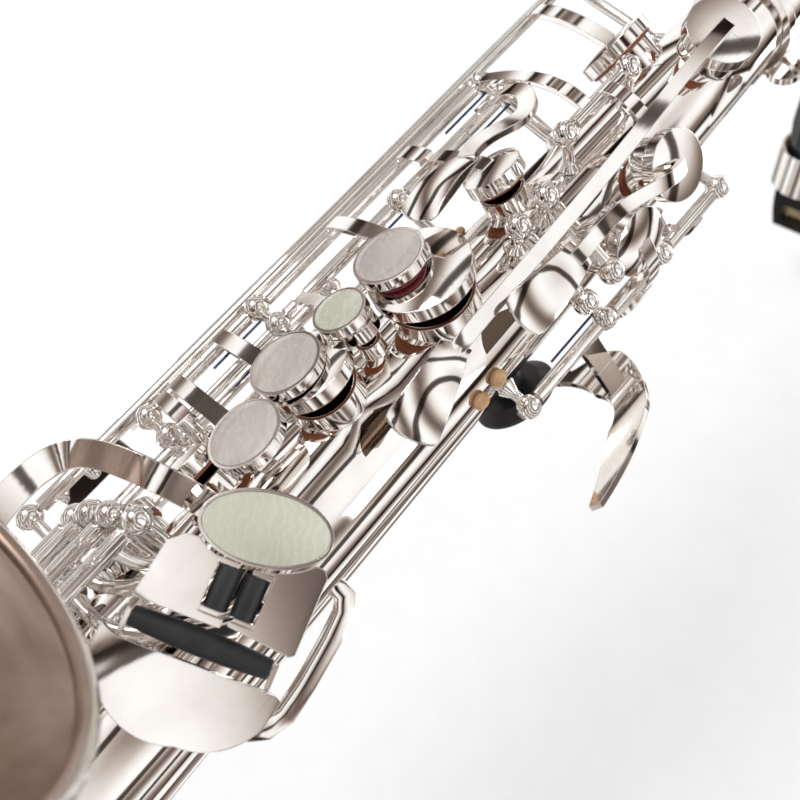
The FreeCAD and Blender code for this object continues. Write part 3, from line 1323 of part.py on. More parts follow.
def bell_outside():
    """The bell as a solid, a hair larger than its outside, to trim what stands on it."""
    length = size("bell_length")
    points = [Vector(bell_radius(length * step / 14) + 0.03, 0, length * step / 14) for step in range(15)]
    curve = Part.BSplineCurve()
    curve.interpolate(points)
    edges = [curve.toShape(), Part.makeLine(points[-1], Vector(0, 0, length)),
             Part.makeLine(Vector(0, 0, length), Vector(0, 0, 0)), Part.makeLine(Vector(0, 0, 0), points[0])]
    solid = Part.Face(Part.Wire(Part.sortEdges(edges)[0])).revolve(Vector(0, 0, 0), Vector(0, 0, 1), 360)
    solid.Placement = bell_place(0)
    return solid


def guard_felts():
    felts = []
    for note, (azimuth, drop, span, top) in GUARDS.items():
        felts.append(cylinder("felt_" + note, "4.0", "2.0", facing(azimuth, top - 3.1, drop)))
    for note in BELL_HOLES:
        seat = bell_hole_place(note)
        felts.append(cylinder("felt_" + note, "4.0", "2.0", seat.multiply(
            Placement(Vector(BELL_GUARD_SHIFT, 0, BELL_GUARD_TOP - 3.1), Rotation()))))
    return gather("guard_felts", felts)


# ---------------------------------------------------------------- neck octave key

def neck_out_at(share):
    base, rise, centre, turn, stop, heading, tip = neck_path()
    part = turn * share
    return centre, Vector(0, -math.cos(part), math.sin(part))


def neck_hinge():
    """On the outer side of the neck's bend; local Z runs along X."""
    centre, out = neck_out_at(0.34)
    return Placement(centre + out * (size("neck_bend") + 17.5), Rotation(Vector(0, 1, 0), 90))


def neck_octave_key():
    """Bent lever over the neck: a loop round the neck's foot at one end, the vent's cup at the other."""
    points = []
    for share in (0.72, 0.6, 0.48, 0.34, 0.2, 0.06):
        middle, way = neck_out_at(share)
        points.append(middle + way * (size("neck_bend") + (18.6 if share > 0.3 else 20.0)))
    loop_height = spot(0, 0, -9.0)
    points.append(loop_height + Vector(0, -20.2, 6.0))
    points.append(loop_height + Vector(0, -18.6, 0.0))
    line = Part.BSplineCurve()
    line.interpolate(points)
    rings = []
    for step in range(25):
        where = line.FirstParameter + (line.LastParameter - line.FirstParameter) * step / 24
        way = line.tangent(where)[0]
        side = Vector(1, 0, 0)
        lift = side.cross(way).normalize()
        corners = [line.value(where) + side * a * 2.2 + lift * b * 0.8
                   for a, b in ((-1, -1), (1, -1), (1, 1), (-1, 1))]
        rings.append(Part.makePolygon(corners + corners[:1]))
    bar = formed("neck_octave_bar", Part.makeLoft(rings, True, False))
    loop = lathe("neck_octave_loop", [(17.6, "-1.4"), (19.6, "-1.4"), (19.6, "1.4"), (17.6, "1.4")],
                 Placement(loop_height, Rotation()))
    hinge = neck_hinge()
    outer = cylinder("neck_octave_tube_outer", "1.9", "8.0", hinge.multiply(
        Placement(Vector(0, 0, -4.0), Rotation())))
    bore = cylinder("neck_octave_tube_bore", "0.95", "8.0", hinge.multiply(
        Placement(Vector(0, 0, -4.0), Rotation())))
    seat = neck_vent()
    stem = cylinder("neck_octave_stem", "1.6", "4.0", seat.multiply(Placement(Vector(0, 0, 2.2), Rotation())))
    top = lathe("neck_octave_cup", [("0", "1.5"), (3.6, "1.5"), (3.6, "2.8"), ("0", "2.8")], seat)
    whole = fuse("neck_octave_metal_whole", [bar, loop, outer, stem, top])
    metal = cut("neck_octave_metal", whole, bore)
    disc = lathe("neck_octave_pad", [("0", "0.06"), (3.3, "0.06"), (3.3, "1.48"), ("0", "1.48")], seat)
    return gather("neck_octave_key", [metal, disc])


def neck_posts(neck):
    """Two small posts on the neck that carry its key's rod."""
    hinge = neck_hinge()
    centre, out = neck_out_at(0.34)
    pieces = []
    for side in (-6.2, 6.2):
        top = hinge.Base + Vector(side, 0, 0)
        stem = Part.makeCylinder(1.2, 9.5, top - out * 9.5, out)
        pieces.append(stem.fuse(Part.makeSphere(1.9, top)))
    saddle = Part.makeBox(15.0, 7.0, 3.0, Vector(-7.5, -3.5, -3.0))
    seat = Placement(hinge.Base - out * 5.2, Rotation(Vector(0, 0, 1), out))
    saddle.Placement = seat.multiply(saddle.Placement)
    bore = Part.makeCylinder(0.92, 24.0, hinge.Base - Vector(12, 0, 0), Vector(1, 0, 0))
    added = pieces[0].fuse(pieces[1]).fuse(saddle).cut(bore)
    neck.Shape = neck.Shape.fuse(added.cut(neck_solid(0.3)))
    return neck


# ---------------------------------------------------------------- build, check and export

def build():
    keep(body_tube())
    keep(bow())
    keep(bell())
    keep(bow_ferrules())
    keep(neck_receiver())
    keep(clamp_screws())
    keep(strap_ring())
    keep(thumb_rest())
    keep(thumb_hook())
    keep(bell_brace())
    keep(key_posts())
    keep(hinge_rods())
    keep(needle_springs())
    keep(key_guards())
    keep(guard_felts())
    neck = keep(neck_tube())
    neck_posts(neck)
    keep(neck_cork())
    keep(mouthpiece())
    keep(reed())
    keep(ligature())
    keep(neck_octave_key())
    upper_stack()
    front_f()
    palm_keys()
    octave_keys()
    table_keys()
    lower_stack()
    foot_keys()
    side_keys()


def check():
    """Stop if any object failed, or if any node's shape is missing or broken."""
    failed = [item.Label for item in doc.Objects if "Invalid" in item.State or "Error" in item.State]
    broken = [name for name, item in NODES.items()
              if item.Shape.isNull() or not item.Shape.isValid() or not item.Shape.Solids]
    if failed or broken:
        raise RuntimeError("failed: %s; bad shapes: %s" % (failed, broken))


build()
doc.recompute()
check()
os.makedirs("parts", exist_ok=True)
for name, item in NODES.items():
    item.Shape.exportStep("parts/%s.step" % name)
    print("%-18s solids %3d  volume %10.1f" % (name, len(item.Shape.Solids), item.Shape.Volume))
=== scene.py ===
"""Looks, light and camera for the alto saxophone, on top of its CAD frame. Lengths in metres."""
import json
import math

import bpy
from mathutils import Matrix, Vector


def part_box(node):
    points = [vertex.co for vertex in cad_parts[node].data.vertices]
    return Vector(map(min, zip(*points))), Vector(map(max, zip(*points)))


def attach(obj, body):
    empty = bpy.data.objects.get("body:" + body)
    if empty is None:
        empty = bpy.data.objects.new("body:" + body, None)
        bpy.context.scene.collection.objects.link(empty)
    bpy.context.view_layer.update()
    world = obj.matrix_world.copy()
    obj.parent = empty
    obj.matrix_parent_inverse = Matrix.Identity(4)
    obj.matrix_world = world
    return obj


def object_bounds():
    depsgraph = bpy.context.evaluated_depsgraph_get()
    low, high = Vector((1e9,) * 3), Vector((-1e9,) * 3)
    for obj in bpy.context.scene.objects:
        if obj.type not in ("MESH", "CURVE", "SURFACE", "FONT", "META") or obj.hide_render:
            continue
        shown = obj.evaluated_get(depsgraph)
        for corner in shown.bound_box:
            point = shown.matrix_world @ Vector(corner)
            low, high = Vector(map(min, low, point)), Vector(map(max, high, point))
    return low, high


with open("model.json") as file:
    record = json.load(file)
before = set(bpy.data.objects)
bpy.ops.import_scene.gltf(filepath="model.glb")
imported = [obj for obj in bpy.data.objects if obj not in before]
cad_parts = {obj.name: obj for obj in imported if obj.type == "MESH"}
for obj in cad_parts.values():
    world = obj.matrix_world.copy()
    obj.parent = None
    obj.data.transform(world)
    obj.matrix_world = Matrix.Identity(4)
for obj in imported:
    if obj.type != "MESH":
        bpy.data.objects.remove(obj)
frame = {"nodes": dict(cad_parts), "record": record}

MM = 0.001
TUBE_Y = -28.5 * MM
TUBE_TOP = 225 * MM
TOP_RADIUS = 12.75 * MM
TAPER = 0.0338
BELL_FOOT_Y = -104.5 * MM           # where the bell's axis starts, above the bow
BELL_TILT = math.radians(10)
START_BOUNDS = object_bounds()


# ---------------------------------------------------------------- shader helpers

def fill_ramp(ramp, stops):
    """Gives a colour ramp its stops, each a place from 0 to 1 and a colour."""
    points = ramp.elements
    while len(points) < len(stops):
        points.new(0.5)
    for point, (at, shade) in zip(points, stops):
        point.position = at
        point.color = (*shade, 1)


class Look:
    """A material's node tree, with short ways to add nodes to it."""

    def __init__(self, name):
        self.material = bpy.data.materials.new(name)
        self.material.use_nodes = True
        self.nodes = self.material.node_tree.nodes
        self.links = self.material.node_tree.links
        self.surface = self.nodes["Principled BSDF"]
        self.place = self.nodes.new("ShaderNodeTexCoord").outputs["Object"]

    def set(self, **values):
        for name, value in values.items():
            self.put(self.surface.inputs[name.replace("_", " ")], value)

    def put(self, socket, value):
        if isinstance(value, bpy.types.NodeSocket):
            self.links.new(value, socket)
        else:
            socket.default_value = value

    def add(self, kind, settings=None, **inputs):
        node = self.nodes.new("ShaderNode" + kind)
        for name, value in (settings or {}).items():
            setattr(node, name, value)
        for name, value in inputs.items():
            self.put(node.inputs[name.replace("_", " ")], value)
        return node

    def noise(self, scale, detail=3.0, distortion=0.0, stretch=(1, 1, 1)):
        placed = self.add("Mapping", Vector=self.place, Scale=stretch)
        made = self.add("TexNoise", Vector=placed.outputs[0], Scale=scale, Detail=detail,
                        Distortion=distortion)
        return made.outputs["Fac"]

    def cells(self, scale):
        return self.add("TexVoronoi", Vector=self.place, Scale=scale).outputs["Distance"]

    def bands(self, scale, distortion, direction="X"):
        made = self.add("TexWave", {"bands_direction": direction}, Vector=self.place, Scale=scale,
                        Distortion=distortion, Detail=2.0, Detail_Scale=1.5)
        return made.outputs["Fac"]

    def ramp(self, factor, stops):
        made = self.add("ValToRGB", Fac=factor)
        fill_ramp(made.color_ramp, stops)
        return made.outputs["Color"]

    def level(self, factor, low, high):
        return self.add("MapRange", Value=factor, To_Min=low, To_Max=high).outputs[0]

    def mix(self, factor, first, second):
        made = self.nodes.new("ShaderNodeMix")
        made.data_type = "RGBA"
        for socket, value in ((made.inputs[0], factor), (made.inputs[6], first), (made.inputs[7], second)):
            self.put(socket, value if not isinstance(value, tuple) or len(value) == 4 else (*value, 1))
        return made.outputs[2]

    def relief(self, height, strength, distance=0.2 * MM, rounding=None):
        made = self.add("Bump", Height=height, Strength=strength, Distance=distance)
        if rounding:
            round_edge = self.add("Bevel", {"samples": 4}, Radius=rounding)
            self.links.new(round_edge.outputs[0], made.inputs["Normal"])
        self.links.new(made.outputs[0], self.surface.inputs["Normal"])


def plated(name, light, shade, polish, inside=None):
    """Silver plate: a mirror with faint smudges and hairline polishing marks; where a mask is given, painted
    shade darkens the masked part.
    """
    look = Look(name)
    smudge = look.noise(70, 5, 0.6)
    marks = look.noise(900, 2, 0.0, (1, 1, 0.12))
    tone = look.ramp(smudge, [(0.32, shade), (0.62, light)])
    # painted shade: where the mask is one, the colour is mixed down to a near-black brown
    if inside:
        tone = look.mix(inside(look), tone, (0.10, 0.07, 0.05))
    look.set(Base_Color=tone, Metallic=1.0, Roughness=look.level(smudge, polish * 0.6, polish * 1.5))
    look.relief(marks, 0.012, rounding=0.35 * MM)
    return look.material


def bore_shade_mask(look):
    """One inside the body tube's bore, nought outside: the mask for the painted shade in the bore."""
    part = look.add("SeparateXYZ", Vector=look.place)
    across = look.add("Math", {"operation": "ADD"})
    look.put(across.inputs[0], part.outputs["Y"])
    across.inputs[1].default_value = -TUBE_Y
    reach = look.add("CombineXYZ", X=part.outputs["X"], Y=across.outputs[0])
    length = look.add("VectorMath", {"operation": "LENGTH"})
    look.put(length.inputs[0], reach.outputs[0])
    radius = look.add("MapRange", {"clamp": False}, Value=part.outputs["Z"], From_Min=TUBE_TOP,
                      From_Max=TUBE_TOP - 1.0, To_Min=TOP_RADIUS - 0.4 * MM, To_Max=TOP_RADIUS + TAPER)
    inside = look.add("Math", {"operation": "LESS_THAN"})
    look.put(inside.inputs[0], length.outputs["Value"])
    look.put(inside.inputs[1], radius.outputs[0])
    return inside.outputs[0]


def pearl_look(name, dark, light):
    look = Look(name)
    cloud = look.noise(38, 2, 0.8)
    lines = look.bands(190, 9.0, "DIAGONAL")
    base = look.ramp(cloud, [(0.3, dark), (0.72, light)])
    tint = look.ramp(lines, [(0.2, (0.90, 0.89, 0.87)), (0.7, (1.0, 0.99, 0.97))])
    mixed = look.add("MixRGB", {"blend_type": "MULTIPLY"}, Fac=0.35, Color1=base, Color2=tint)
    look.set(Base_Color=mixed.outputs[0], Roughness=look.level(lines, 0.16, 0.3), Coat_Weight=0.7,
             Coat_Roughness=0.06, Subsurface_Weight=0.1, Subsurface_Radius=(2 * MM, 2 * MM, 2 * MM))
    look.relief(lines, 0.03)
    return look.material


def leather_look():
    look = Look("pad_leather_tan")
    grain = look.cells(1400)
    cloud = look.noise(60, 4)
    look.set(Base_Color=look.ramp(cloud, [(0.3, (0.24, 0.065, 0.03)), (0.7, (0.46, 0.16, 0.07))]),
             Roughness=look.level(grain, 0.45, 0.7))
    look.relief(grain, 0.35)
    return look.material


def felt_look():
    look = Look("felt_dark_red")
    fibre = look.noise(1500, 6, 1.2)
    colour = look.ramp(fibre, [(0.3, (0.12, 0.004, 0.012)), (0.7, (0.34, 0.02, 0.035))])
    look.set(Base_Color=colour, Roughness=0.95, Sheen_Weight=0.6, Sheen_Roughness=0.5)
    look.relief(fibre, 0.8)
    return look.material


def cork_look():
    look = Look("cork_brown")
    specks = look.cells(700)
    cloud = look.noise(260, 5)
    base = look.ramp(cloud, [(0.3, (0.40, 0.22, 0.11)), (0.7, (0.66, 0.42, 0.24))])
    speck_mask = look.ramp(specks, [(0.1, (1, 1, 1)), (0.22, (0, 0, 0))])
    look.set(Base_Color=look.mix(speck_mask, base, (0.2, 0.1, 0.05)), Roughness=0.85)
    look.relief(specks, 0.4)
    return look.material


def cane_look():
    look = Look("reed_cane")
    streak = look.noise(420, 4, 0.2, (1, 0.06, 0.06))
    colour = look.ramp(streak, [(0.3, (0.62, 0.45, 0.22)), (0.7, (0.83, 0.68, 0.40))])
    look.set(Base_Color=colour, Roughness=0.6)
    look.relief(streak, 0.25)
    return look.material


def plastic_look(name, dark, light, rough):
    look = Look(name)
    haze = look.noise(140, 5)
    grain = look.noise(2600, 2)
    look.set(Base_Color=look.ramp(haze, [(0.3, dark), (0.7, light)]),
             Roughness=look.level(haze, rough, rough + 0.15))
    look.relief(grain, 0.06, rounding=0.3 * MM)
    return look.material


def steel_look(name, dark, light):
    look = Look(name)
    turned = look.noise(1200, 3, 0.0, (1, 1, 0.2))
    look.set(Base_Color=look.ramp(turned, [(0.3, dark), (0.7, light)]), Metallic=1.0,
             Roughness=look.level(turned, 0.12, 0.3))
    look.relief(turned, 0.03)
    return look.material


def bell_look():
    """Polished outside; the inside is warmer and softer, seen from the side the wall faces; its darker,
    warmer colour is painted shade.
    """
    look = Look("bell_plated")
    smudge = look.noise(40, 5, 0.8)
    brushed = look.noise(700, 3, 0.0, (0.15, 1, 1))
    outside = look.ramp(smudge, [(0.3, (0.80, 0.76, 0.72)), (0.65, (0.93, 0.90, 0.87))])
    look.set(Base_Color=outside, Metallic=1.0, Roughness=look.level(smudge, 0.05, 0.12))
    look.relief(brushed, 0.02, rounding=0.35 * MM)
    return look.material


def bell_inside_look():
    look = Look("bell_inside_satin_painted_shade")
    brushed = look.noise(260, 4, 0.0, (0.12, 1, 1))
    # painted shade: the inside gets a darker, warmer brown-grey than the outside's silver; only the higher
    # roughness is the satin
    colour = look.ramp(brushed, [(0.3, (0.34, 0.25, 0.20)), (0.7, (0.46, 0.36, 0.31))])
    look.set(Base_Color=colour, Metallic=0.85, Roughness=look.level(brushed, 0.28, 0.45))
    look.relief(brushed, 0.06)
    return look.material


SILVER = plated("silver_mirror", (0.95, 0.92, 0.89), (0.84, 0.80, 0.77), 0.05)
# the tube's silver gets painted shade inside its bore, through the mask
TUBE_SILVER = plated("silver_tube", (0.95, 0.92, 0.89), (0.84, 0.80, 0.77), 0.045, bore_shade_mask)
PEARL = pearl_look("pearl_shell", (0.42, 0.375, 0.35), (0.62, 0.575, 0.54))
PEARL_GREEN = pearl_look("pearl_green", (0.50, 0.50, 0.41), (0.70, 0.70, 0.58))
LEATHER = leather_look()
FELT = felt_look()
CORK = cork_look()
BELL_OUT = bell_look()
BELL_IN = bell_inside_look()
SLOT_LOOKS = {
    "silver_plate": SILVER, "bell_plate": BELL_OUT, "pearl": PEARL, "pad_leather": LEATHER, "red_felt": FELT,
    "cork": CORK, "cane": cane_look(),
    "black_plastic": plastic_look("black_matte", (0.008, 0.008, 0.009), (0.03, 0.03, 0.032), 0.38),
    "black_ebonite": plastic_look("ebonite_black", (0.006, 0.006, 0.007), (0.018, 0.017, 0.017), 0.12),
    "steel_rod": steel_look("rod_steel", (0.62, 0.60, 0.58), (0.82, 0.80, 0.77)),
    "blued_steel": steel_look("spring_blued", (0.03, 0.05, 0.12), (0.12, 0.14, 0.24)),
}


# ---------------------------------------------------------------- CAD nodes

def shells(mesh):
    """Connected pieces of a mesh whose faces may not share vertices: a list of polygon index lists."""
    owner = {}
    joined = {}

    def head(key):
        while joined[key] != key:
            joined[key] = joined[joined[key]]
            key = joined[key]
        return key

    for vertex in mesh.vertices:
        key = tuple(round(value * 1e6) for value in vertex.co)
        owner[vertex.index] = key
        joined.setdefault(key, key)
    for polygon in mesh.polygons:
        first = head(owner[polygon.vertices[0]])
        for index in polygon.vertices[1:]:
            joined[head(owner[index])] = first
    found = {}
    for polygon in mesh.polygons:
        found.setdefault(head(owner[polygon.vertices[0]]), []).append(polygon.index)
    return list(found.values())


def extent(mesh, polygons):
    points = [mesh.vertices[index].co for number in polygons for index in mesh.polygons[number].vertices]
    low = Vector([min(point[axis] for point in points) for axis in range(3)])
    high = Vector([max(point[axis] for point in points) for axis in range(3)])
    return low, high


def smooth(thing, angle=32):
    mesh = thing.data
    for name in ("custom_normal", "sharp_edge", "sharp_face"):
        if name in mesh.attributes:
            mesh.attributes.remove(mesh.attributes[name])
    mesh.polygons.foreach_set("use_smooth", [True] * len(mesh.polygons))
    weld = thing.modifiers.new("join", "WELD")
    weld.merge_threshold = 0.002 * MM
    split = thing.modifiers.new("crisp", "EDGE_SPLIT")
    split.split_angle = math.radians(angle)


def dress(thing, looks):
    thing.data.materials.clear()
    for look in looks:
        thing.data.materials.append(look)


def dress_key(thing):
    """Metal, with leather for the key's own pad and pearl for the touch of the lower stack."""
    mesh = thing.data
    dress(thing, [SILVER, LEATHER, PEARL])
    parts = [(extent(mesh, polygons), polygons) for polygons in shells(mesh)]
    parts.sort(key=lambda part: (part[0][1] - part[0][0]).length, reverse=True)
    parts = [polygons for (low, high), polygons in parts if (high - low).length > 2 * MM]
    if len(parts) > 1:
        soft = {1: parts[1], 2: parts[2]} if thing.name in PEARLED else {1: parts[-1]}
        for slot, polygons in soft.items():
            for number in polygons:
                mesh.polygons[number].material_index = slot


def dress_bell(thing):
    """Faces that look towards the bell's own leaning axis are its satin inside, whose darker colour is
    painted shade.
    """
    mesh = thing.data
    dress(thing, [BELL_OUT, BELL_IN])
    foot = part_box("bell")[0].z
    axis = Vector((0, -math.sin(BELL_TILT), math.cos(BELL_TILT)))
    for polygon in mesh.polygons:
        away = polygon.center - Vector((0, BELL_FOOT_Y, foot))
        away -= axis * away.dot(axis)
        if polygon.normal.dot(away) < -0.3 * away.length:
            polygon.material_index = 1


PEARLED = ("f_key", "e_key", "d_key")
SLOTS = {part["node"]: part["material_slot"] for part in frame["record"]["subparts"]}
for node, thing in frame["nodes"].items():
    if node == "bell":
        dress_bell(thing)
    elif node in ("gs_pearl", "bis_pearl"):
        dress(thing, [PEARL_GREEN])
    elif node == "body_tube":
        dress(thing, [TUBE_SILVER])
    elif node.endswith("_key") or node.startswith("front_f"):
        dress_key(thing)
    else:
        dress(thing, [SLOT_LOOKS.get(SLOTS[node], SILVER)])
    smooth(thing)


# ---------------------------------------------------------------- added pieces

def piece(name, points, faces, look, body, soft=True):
    """A mesh piece that rides on a body, given in the row frame."""
    mesh = bpy.data.meshes.new(name)
    mesh.from_pydata(points, [], faces)
    mesh.polygons.foreach_set("use_smooth", [soft] * len(mesh.polygons))
    mesh.materials.append(look)
    made = bpy.data.objects.new(name, mesh)
    bpy.context.scene.collection.objects.link(made)
    if soft:
        made.modifiers.new("crisp", "EDGE_SPLIT").split_angle = math.radians(35)
    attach(made, body)
    return made


def set_on(base, out):
    """A place whose local Z points outwards."""
    return Matrix.Translation(base) @ out.to_track_quat("Z", "Y").to_matrix().to_4x4()


def turned(name, profile, place, look, body, sides=40):
    """A round piece from (radius, height) points, turned about the local Z of its place."""
    points, faces = [], []
    for radius, height in profile:
        for side in range(sides):
            angle = 2 * math.pi * side / sides
            points.append(place @ Vector((radius * math.cos(angle), radius * math.sin(angle), height)))
    for ring in range(len(profile) - 1):
        for side in range(sides):
            after = (side + 1) % sides
            faces.append((ring * sides + side, ring * sides + after, (ring + 1) * sides + after,
                          (ring + 1) * sides + side))
    faces.append(tuple(reversed(range(sides))))
    faces.append(tuple(range((len(profile) - 1) * sides, len(profile) * sides)))
    return piece(name, points, faces, look, body)


def washer(name, place, radius, height, look, body):
    """A soft disc with rounded edges."""
    edge = min(radius, height) * 0.3
    profile = [(radius - edge, 0), (radius, edge), (radius, height - edge), (radius - edge, height)]
    return turned(name, profile, place, look, body)


def slotted_head(name, place, radius, height, body):
    """A screw head: two half discs with a slot between them over a dark disc, which is painted shade at the
    bottom of the slot.
    """
    gap = radius * 0.22
    points, faces = [], []
    for sign in (1, -1):
        first = len(points)
        start = math.asin(gap / radius)
        corners = [start + (math.pi - 2 * start) * step / 10 for step in range(11)]
        for lift in (0, height):
            for angle in corners:
                corner = Vector((radius * math.cos(angle), sign * radius * math.sin(angle), lift))
                points.append(place @ corner)
        count = len(corners)
        faces.append(tuple(first + step for step in range(count)))
        faces.append(tuple(first + count + step for step in range(count)))
        for step in range(count):
            after = (step + 1) % count
            faces.append((first + step, first + after, first + count + after, first + count + step))
    piece(name, points, faces, SILVER, body, soft=False)
    # painted shade: a dark blued-steel disc under the slot stands in for the shade in it
    washer(name + "_painted_slot_shade", place, radius * 0.96, height * 0.4, SLOT_LOOKS["blued_steel"], body)


def spot(azimuth, reach, drop):
    """A point by its angle round the tube from the bell's side, its reach from the tube's line, its drop."""
    angle = math.radians(azimuth)
    return Vector((reach * math.sin(angle) * MM, TUBE_Y - reach * math.cos(angle) * MM, TUBE_TOP - drop * MM))


def outwards(azimuth):
    angle = math.radians(azimuth)
    return Vector((math.sin(angle), -math.cos(angle), 0))


PEARL_ROW = -14.0                   # azimuth of the row of finger pearls
FELT_RADIUS = 7.1 * MM
FELT_HEIGHT = 1.7 * MM
FELT_DEPTH = 3.9 * MM               # from the middle of the pearl to the felt's underside
CORK_RADIUS = 2.3 * MM
CORK_HEIGHT = 2.2 * MM
CORKS = ((78, 154), (80, 161), (-60, 128))      # azimuth and drop


def add_felts():
    """Dark red felt under the dishes of the two large finger touches."""
    for note in ("b", "a"):
        low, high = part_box(note + "_pearl")
        out = outwards(PEARL_ROW)
        place = set_on((low + high) / 2 - out * FELT_DEPTH, out)
        washer("felt_under_" + note, place, FELT_RADIUS, FELT_HEIGHT, FELT, note + "_key")


def add_corks():
    """Cork bumpers glued where keys would knock on the tube."""
    for number, (azimuth, drop) in enumerate(CORKS):
        place = set_on(spot(azimuth, 12.6 + TAPER * drop, drop), outwards(azimuth))
        washer("cork_bumper_%d" % number, place, CORK_RADIUS, CORK_HEIGHT, CORK, "horn")


def add_screws():
    """Slotted heads where hinge rods come out of their end posts."""
    rods = frame["nodes"]["hinge_rods"].data
    number = 0
    for polygons in shells(rods):
        low, high = extent(rods, polygons)
        size = high - low
        if size.z < 2 * max(size.x, size.y):
            continue
        middle = (low + high) / 2
        for end, way in ((high.z, 1), (low.z, -1)):
            place = set_on(Vector((middle.x, middle.y, end)), Vector((0, 0, way)))
            slotted_head("rod_screw_%02d" % number, place, size.x * 0.62, 0.55 * MM, "horn")
            number += 1


TABLE_AZIMUTH = 30.0
TABLE_TURN = 19.5
TABLE_MIDDLE = (33.5, 232.0, 3.3)   # reach, drop and sideways shift of the little-finger table's middle


def table_spot(along, up, lift):
    """A point in the plane of the little-finger table."""
    reach, drop, side = TABLE_MIDDLE
    turn = math.radians(TABLE_TURN)
    sideways = Vector((-outwards(TABLE_AZIMUTH).y, outwards(TABLE_AZIMUTH).x, 0))
    upwards = Vector((0, 0, 1))
    along_way = sideways * math.cos(turn) + upwards * math.sin(turn)
    up_way = upwards * math.cos(turn) - sideways * math.sin(turn)
    base = spot(TABLE_AZIMUTH, reach, drop) + sideways * side * MM
    return base + (along_way * along + up_way * up + outwards(TABLE_AZIMUTH) * lift) * MM


def add_table_side():
    """The rim of the B flat plate that runs up the outer side of the table."""
    line = [(11.5, -19.8), (14.8, -18.2), (17.2, -14.5), (18.6, -8.0), (19.9, 1.0), (20.3, 7.0), (19.4, 10.2),
            (16.6, 11.4)]
    half, thick, steps = 2.2, 1.5, len(line)
    section = ((-1.0, -thick), (-1.0, -0.4), (-0.6, 0.0), (0.6, 0.0), (1.0, -0.4), (1.0, -thick))
    points, faces = [], []
    for index, (x, y) in enumerate(line):
        before, after = line[max(index - 1, 0)], line[min(index + 1, steps - 1)]
        way = Vector((after[0] - before[0], after[1] - before[1])).normalized()
        across = Vector((-way.y, way.x))
        for offset, lift in section:
            points.append(table_spot(x + across.x * half * offset, y + across.y * half * offset, lift - 0.2))
    ring = len(section)
    for index in range(steps - 1):
        for corner in range(ring):
            after = (corner + 1) % ring
            faces.append((index * ring + corner, index * ring + after, (index + 1) * ring + after,
                          (index + 1) * ring + corner))
    faces.append(tuple(reversed(range(ring))))
    faces.append(tuple(range((steps - 1) * ring, steps * ring)))
    rim = piece("table_side_rim", points, faces, SILVER, "low_bb_key")
    rim.modifiers["crisp"].split_angle = math.radians(60)


add_felts()
add_corks()
add_screws()
add_table_side()


# ---------------------------------------------------------------- stage, light, camera

CAMERA_AZIMUTH = math.radians(30.0)
CAMERA_RISE = math.radians(-12.3)
CAMERA_ROLL = math.radians(42.2)
CAMERA_PLACE = Vector((98.3, -198.8, 10.6)) * MM
SHEET_SIZE = 6.0                    # side of the floor and the backdrop
FLOOR_GAP = 4 * MM
BACKDROP_GAP = 30 * MM


def camera_axes():
    back = Vector((math.sin(CAMERA_AZIMUTH) * math.cos(CAMERA_RISE),
                   -math.cos(CAMERA_AZIMUTH) * math.cos(CAMERA_RISE), math.sin(CAMERA_RISE)))
    right = Vector((math.cos(CAMERA_AZIMUTH), math.sin(CAMERA_AZIMUTH), 0))
    up = back.cross(right)
    turned_right = right * math.cos(CAMERA_ROLL) + up * math.sin(CAMERA_ROLL)
    turned_up = up * math.cos(CAMERA_ROLL) - right * math.sin(CAMERA_ROLL)
    return turned_right, turned_up, back


def set_camera():
    right, up, back = camera_axes()
    data = bpy.data.cameras.new("camera")
    data.sensor_width = 36
    data.lens = 36
    data.clip_start = 0.01
    sharp = bpy.data.objects.new("focus", None)
    bpy.context.scene.collection.objects.link(sharp)
    low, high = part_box("b_pearl")
    sharp.location = (low + high) / 2
    data.dof.use_dof = True
    data.dof.focus_object = sharp
    data.dof.aperture_fstop = 18
    camera = bpy.data.objects.new("camera", data)
    bpy.context.scene.collection.objects.link(camera)
    camera.matrix_world = Matrix.Translation(CAMERA_PLACE) @ Matrix((right, up, back)).transposed().to_4x4()
    bpy.context.scene.camera = camera


def plane(name, place, turn, size, look):
    bpy.ops.mesh.primitive_plane_add(size=size, location=place, rotation=turn)
    made = bpy.context.object
    made.name = name
    made.data.materials.append(look)
    made.visible_glossy = False


def paper(name, one_sided):
    look = Look(name)
    fibre = look.noise(60, 6)
    colour = look.ramp(fibre, [(0.3, (0.925, 0.925, 0.93)), (0.7, (0.95, 0.95, 0.95))])
    look.set(Base_Color=colour, Roughness=0.9)
    look.relief(fibre, 0.05)
    if one_sided:
        hidden = look.add("BsdfTransparent")
        side = look.add("NewGeometry").outputs["Backfacing"]
        choose = look.nodes.new("ShaderNodeMixShader")
        look.put(choose.inputs[0], side)
        look.put(choose.inputs[1], look.surface.outputs[0])
        look.put(choose.inputs[2], hidden.outputs[0])
        look.put(look.nodes["Material Output"].inputs["Surface"], choose.outputs[0])
    return look.material


def area_light(name, place, aim, size, power, tint):
    data = bpy.data.lights.new(name, "AREA")
    data.size = size
    data.energy = power
    data.color = tint
    light = bpy.data.objects.new(name, data)
    bpy.context.scene.collection.objects.link(light)
    light.location = place
    light.rotation_euler = (aim - place).to_track_quat("-Z", "Y").to_euler()


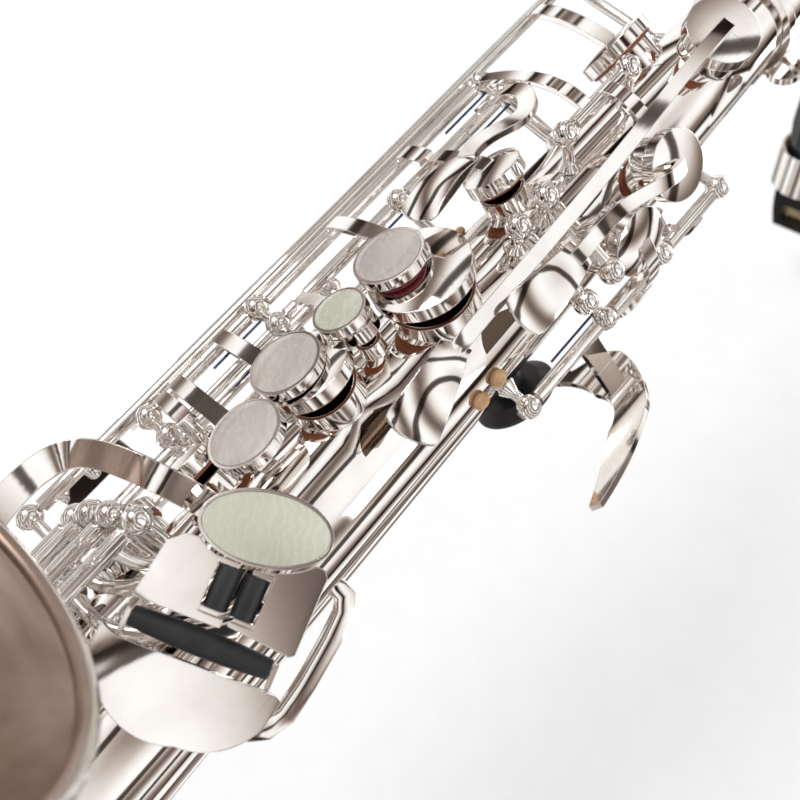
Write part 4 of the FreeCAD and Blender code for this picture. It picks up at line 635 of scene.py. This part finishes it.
def set_room():
    """What the mirror shows: a pale ceiling, warm walls, a few dark upright shapes and bright windows."""
    world = bpy.data.worlds.new("room")
    bpy.context.scene.world = world
    world.use_nodes = True
    nodes, links = world.node_tree.nodes, world.node_tree.links
    place = nodes.new("ShaderNodeTexCoord").outputs["Generated"]
    def wave(turn, scale, distortion, stops):
        turned = nodes.new("ShaderNodeMapping")
        turned.inputs["Rotation"].default_value = turn
        links.new(place, turned.inputs["Vector"])
        made = nodes.new("ShaderNodeTexWave")
        made.inputs["Scale"].default_value = scale
        made.inputs["Distortion"].default_value = distortion
        made.inputs["Detail"].default_value = 1.5
        made.inputs["Detail Scale"].default_value = 0.9
        links.new(turned.outputs[0], made.inputs["Vector"])
        shade = nodes.new("ShaderNodeValToRGB")
        fill_ramp(shade.color_ramp, stops)
        links.new(made.outputs["Fac"], shade.inputs["Fac"])
        return shade.outputs[0]

    broad = wave((0.35, 0.5, 0.6), 0.85, 2.6, [
        (0.00, (0.17, 0.13, 0.115)), (0.18, (0.36, 0.295, 0.26)), (0.36, (0.55, 0.48, 0.435)),
        (0.54, (0.78, 0.73, 0.69)), (0.74, (0.93, 0.91, 0.89)), (1.0, (1.1, 1.1, 1.1))])
    streak = wave((0.0, 0.1, 0.3), 1.15, 3.0, [
        (0.00, (0.08, 0.07, 0.06)), (0.10, (0.16, 0.13, 0.12)), (0.17, (1, 1, 1)), (1.0, (1, 1, 1))])
    both = nodes.new("ShaderNodeMixRGB")
    both.blend_type = "MULTIPLY"
    both.inputs["Fac"].default_value = 1.0
    links.new(broad, both.inputs["Color1"])
    links.new(streak, both.inputs["Color2"])
    room = nodes.new("ShaderNodeBackground")
    links.new(both.outputs[0], room.inputs["Color"])
    white = nodes.new("ShaderNodeBackground")
    white.inputs["Color"].default_value = (0.84, 0.84, 0.845, 1)
    seen = nodes.new("ShaderNodeLightPath").outputs["Is Glossy Ray"]
    choose = nodes.new("ShaderNodeMixShader")
    links.new(seen, choose.inputs[0])
    links.new(white.outputs[0], choose.inputs[1])
    links.new(room.outputs[0], choose.inputs[2])
    links.new(choose.outputs[0], nodes["World Output"].inputs["Surface"])


def set_stage():
    low, high = START_BOUNDS
    middle = (low + high) / 2
    plane("floor", (middle.x, middle.y, low.z - FLOOR_GAP), (0, 0, 0), SHEET_SIZE, paper("floor_pale", False))
    behind = (middle.x, high.y + BACKDROP_GAP, middle.z)
    plane("backdrop", behind, (math.radians(90), 0, 0), SHEET_SIZE, paper("backdrop_white", True))
    right, up, back = camera_axes()
    aim = Vector((0, TUBE_Y, 60 * MM))
    area_light("key_light", aim + (back * 0.7 + up * 0.75 - right * 0.55), aim, 0.5, 4.5, (1.0, 0.985, 0.96))
    area_light("side_light", aim + (back * 0.5 - up * 0.3 + right * 0.9), aim, 0.35, 1.0, (1.0, 0.96, 0.93))
    area_light("top_light", aim + Vector((0.1, 0.25, 0.8)), aim, 0.6, 2.5, (1.0, 1.0, 1.0))


set_room()
set_stage()
set_camera()
bpy.context.scene.view_settings.view_transform = "Standard"
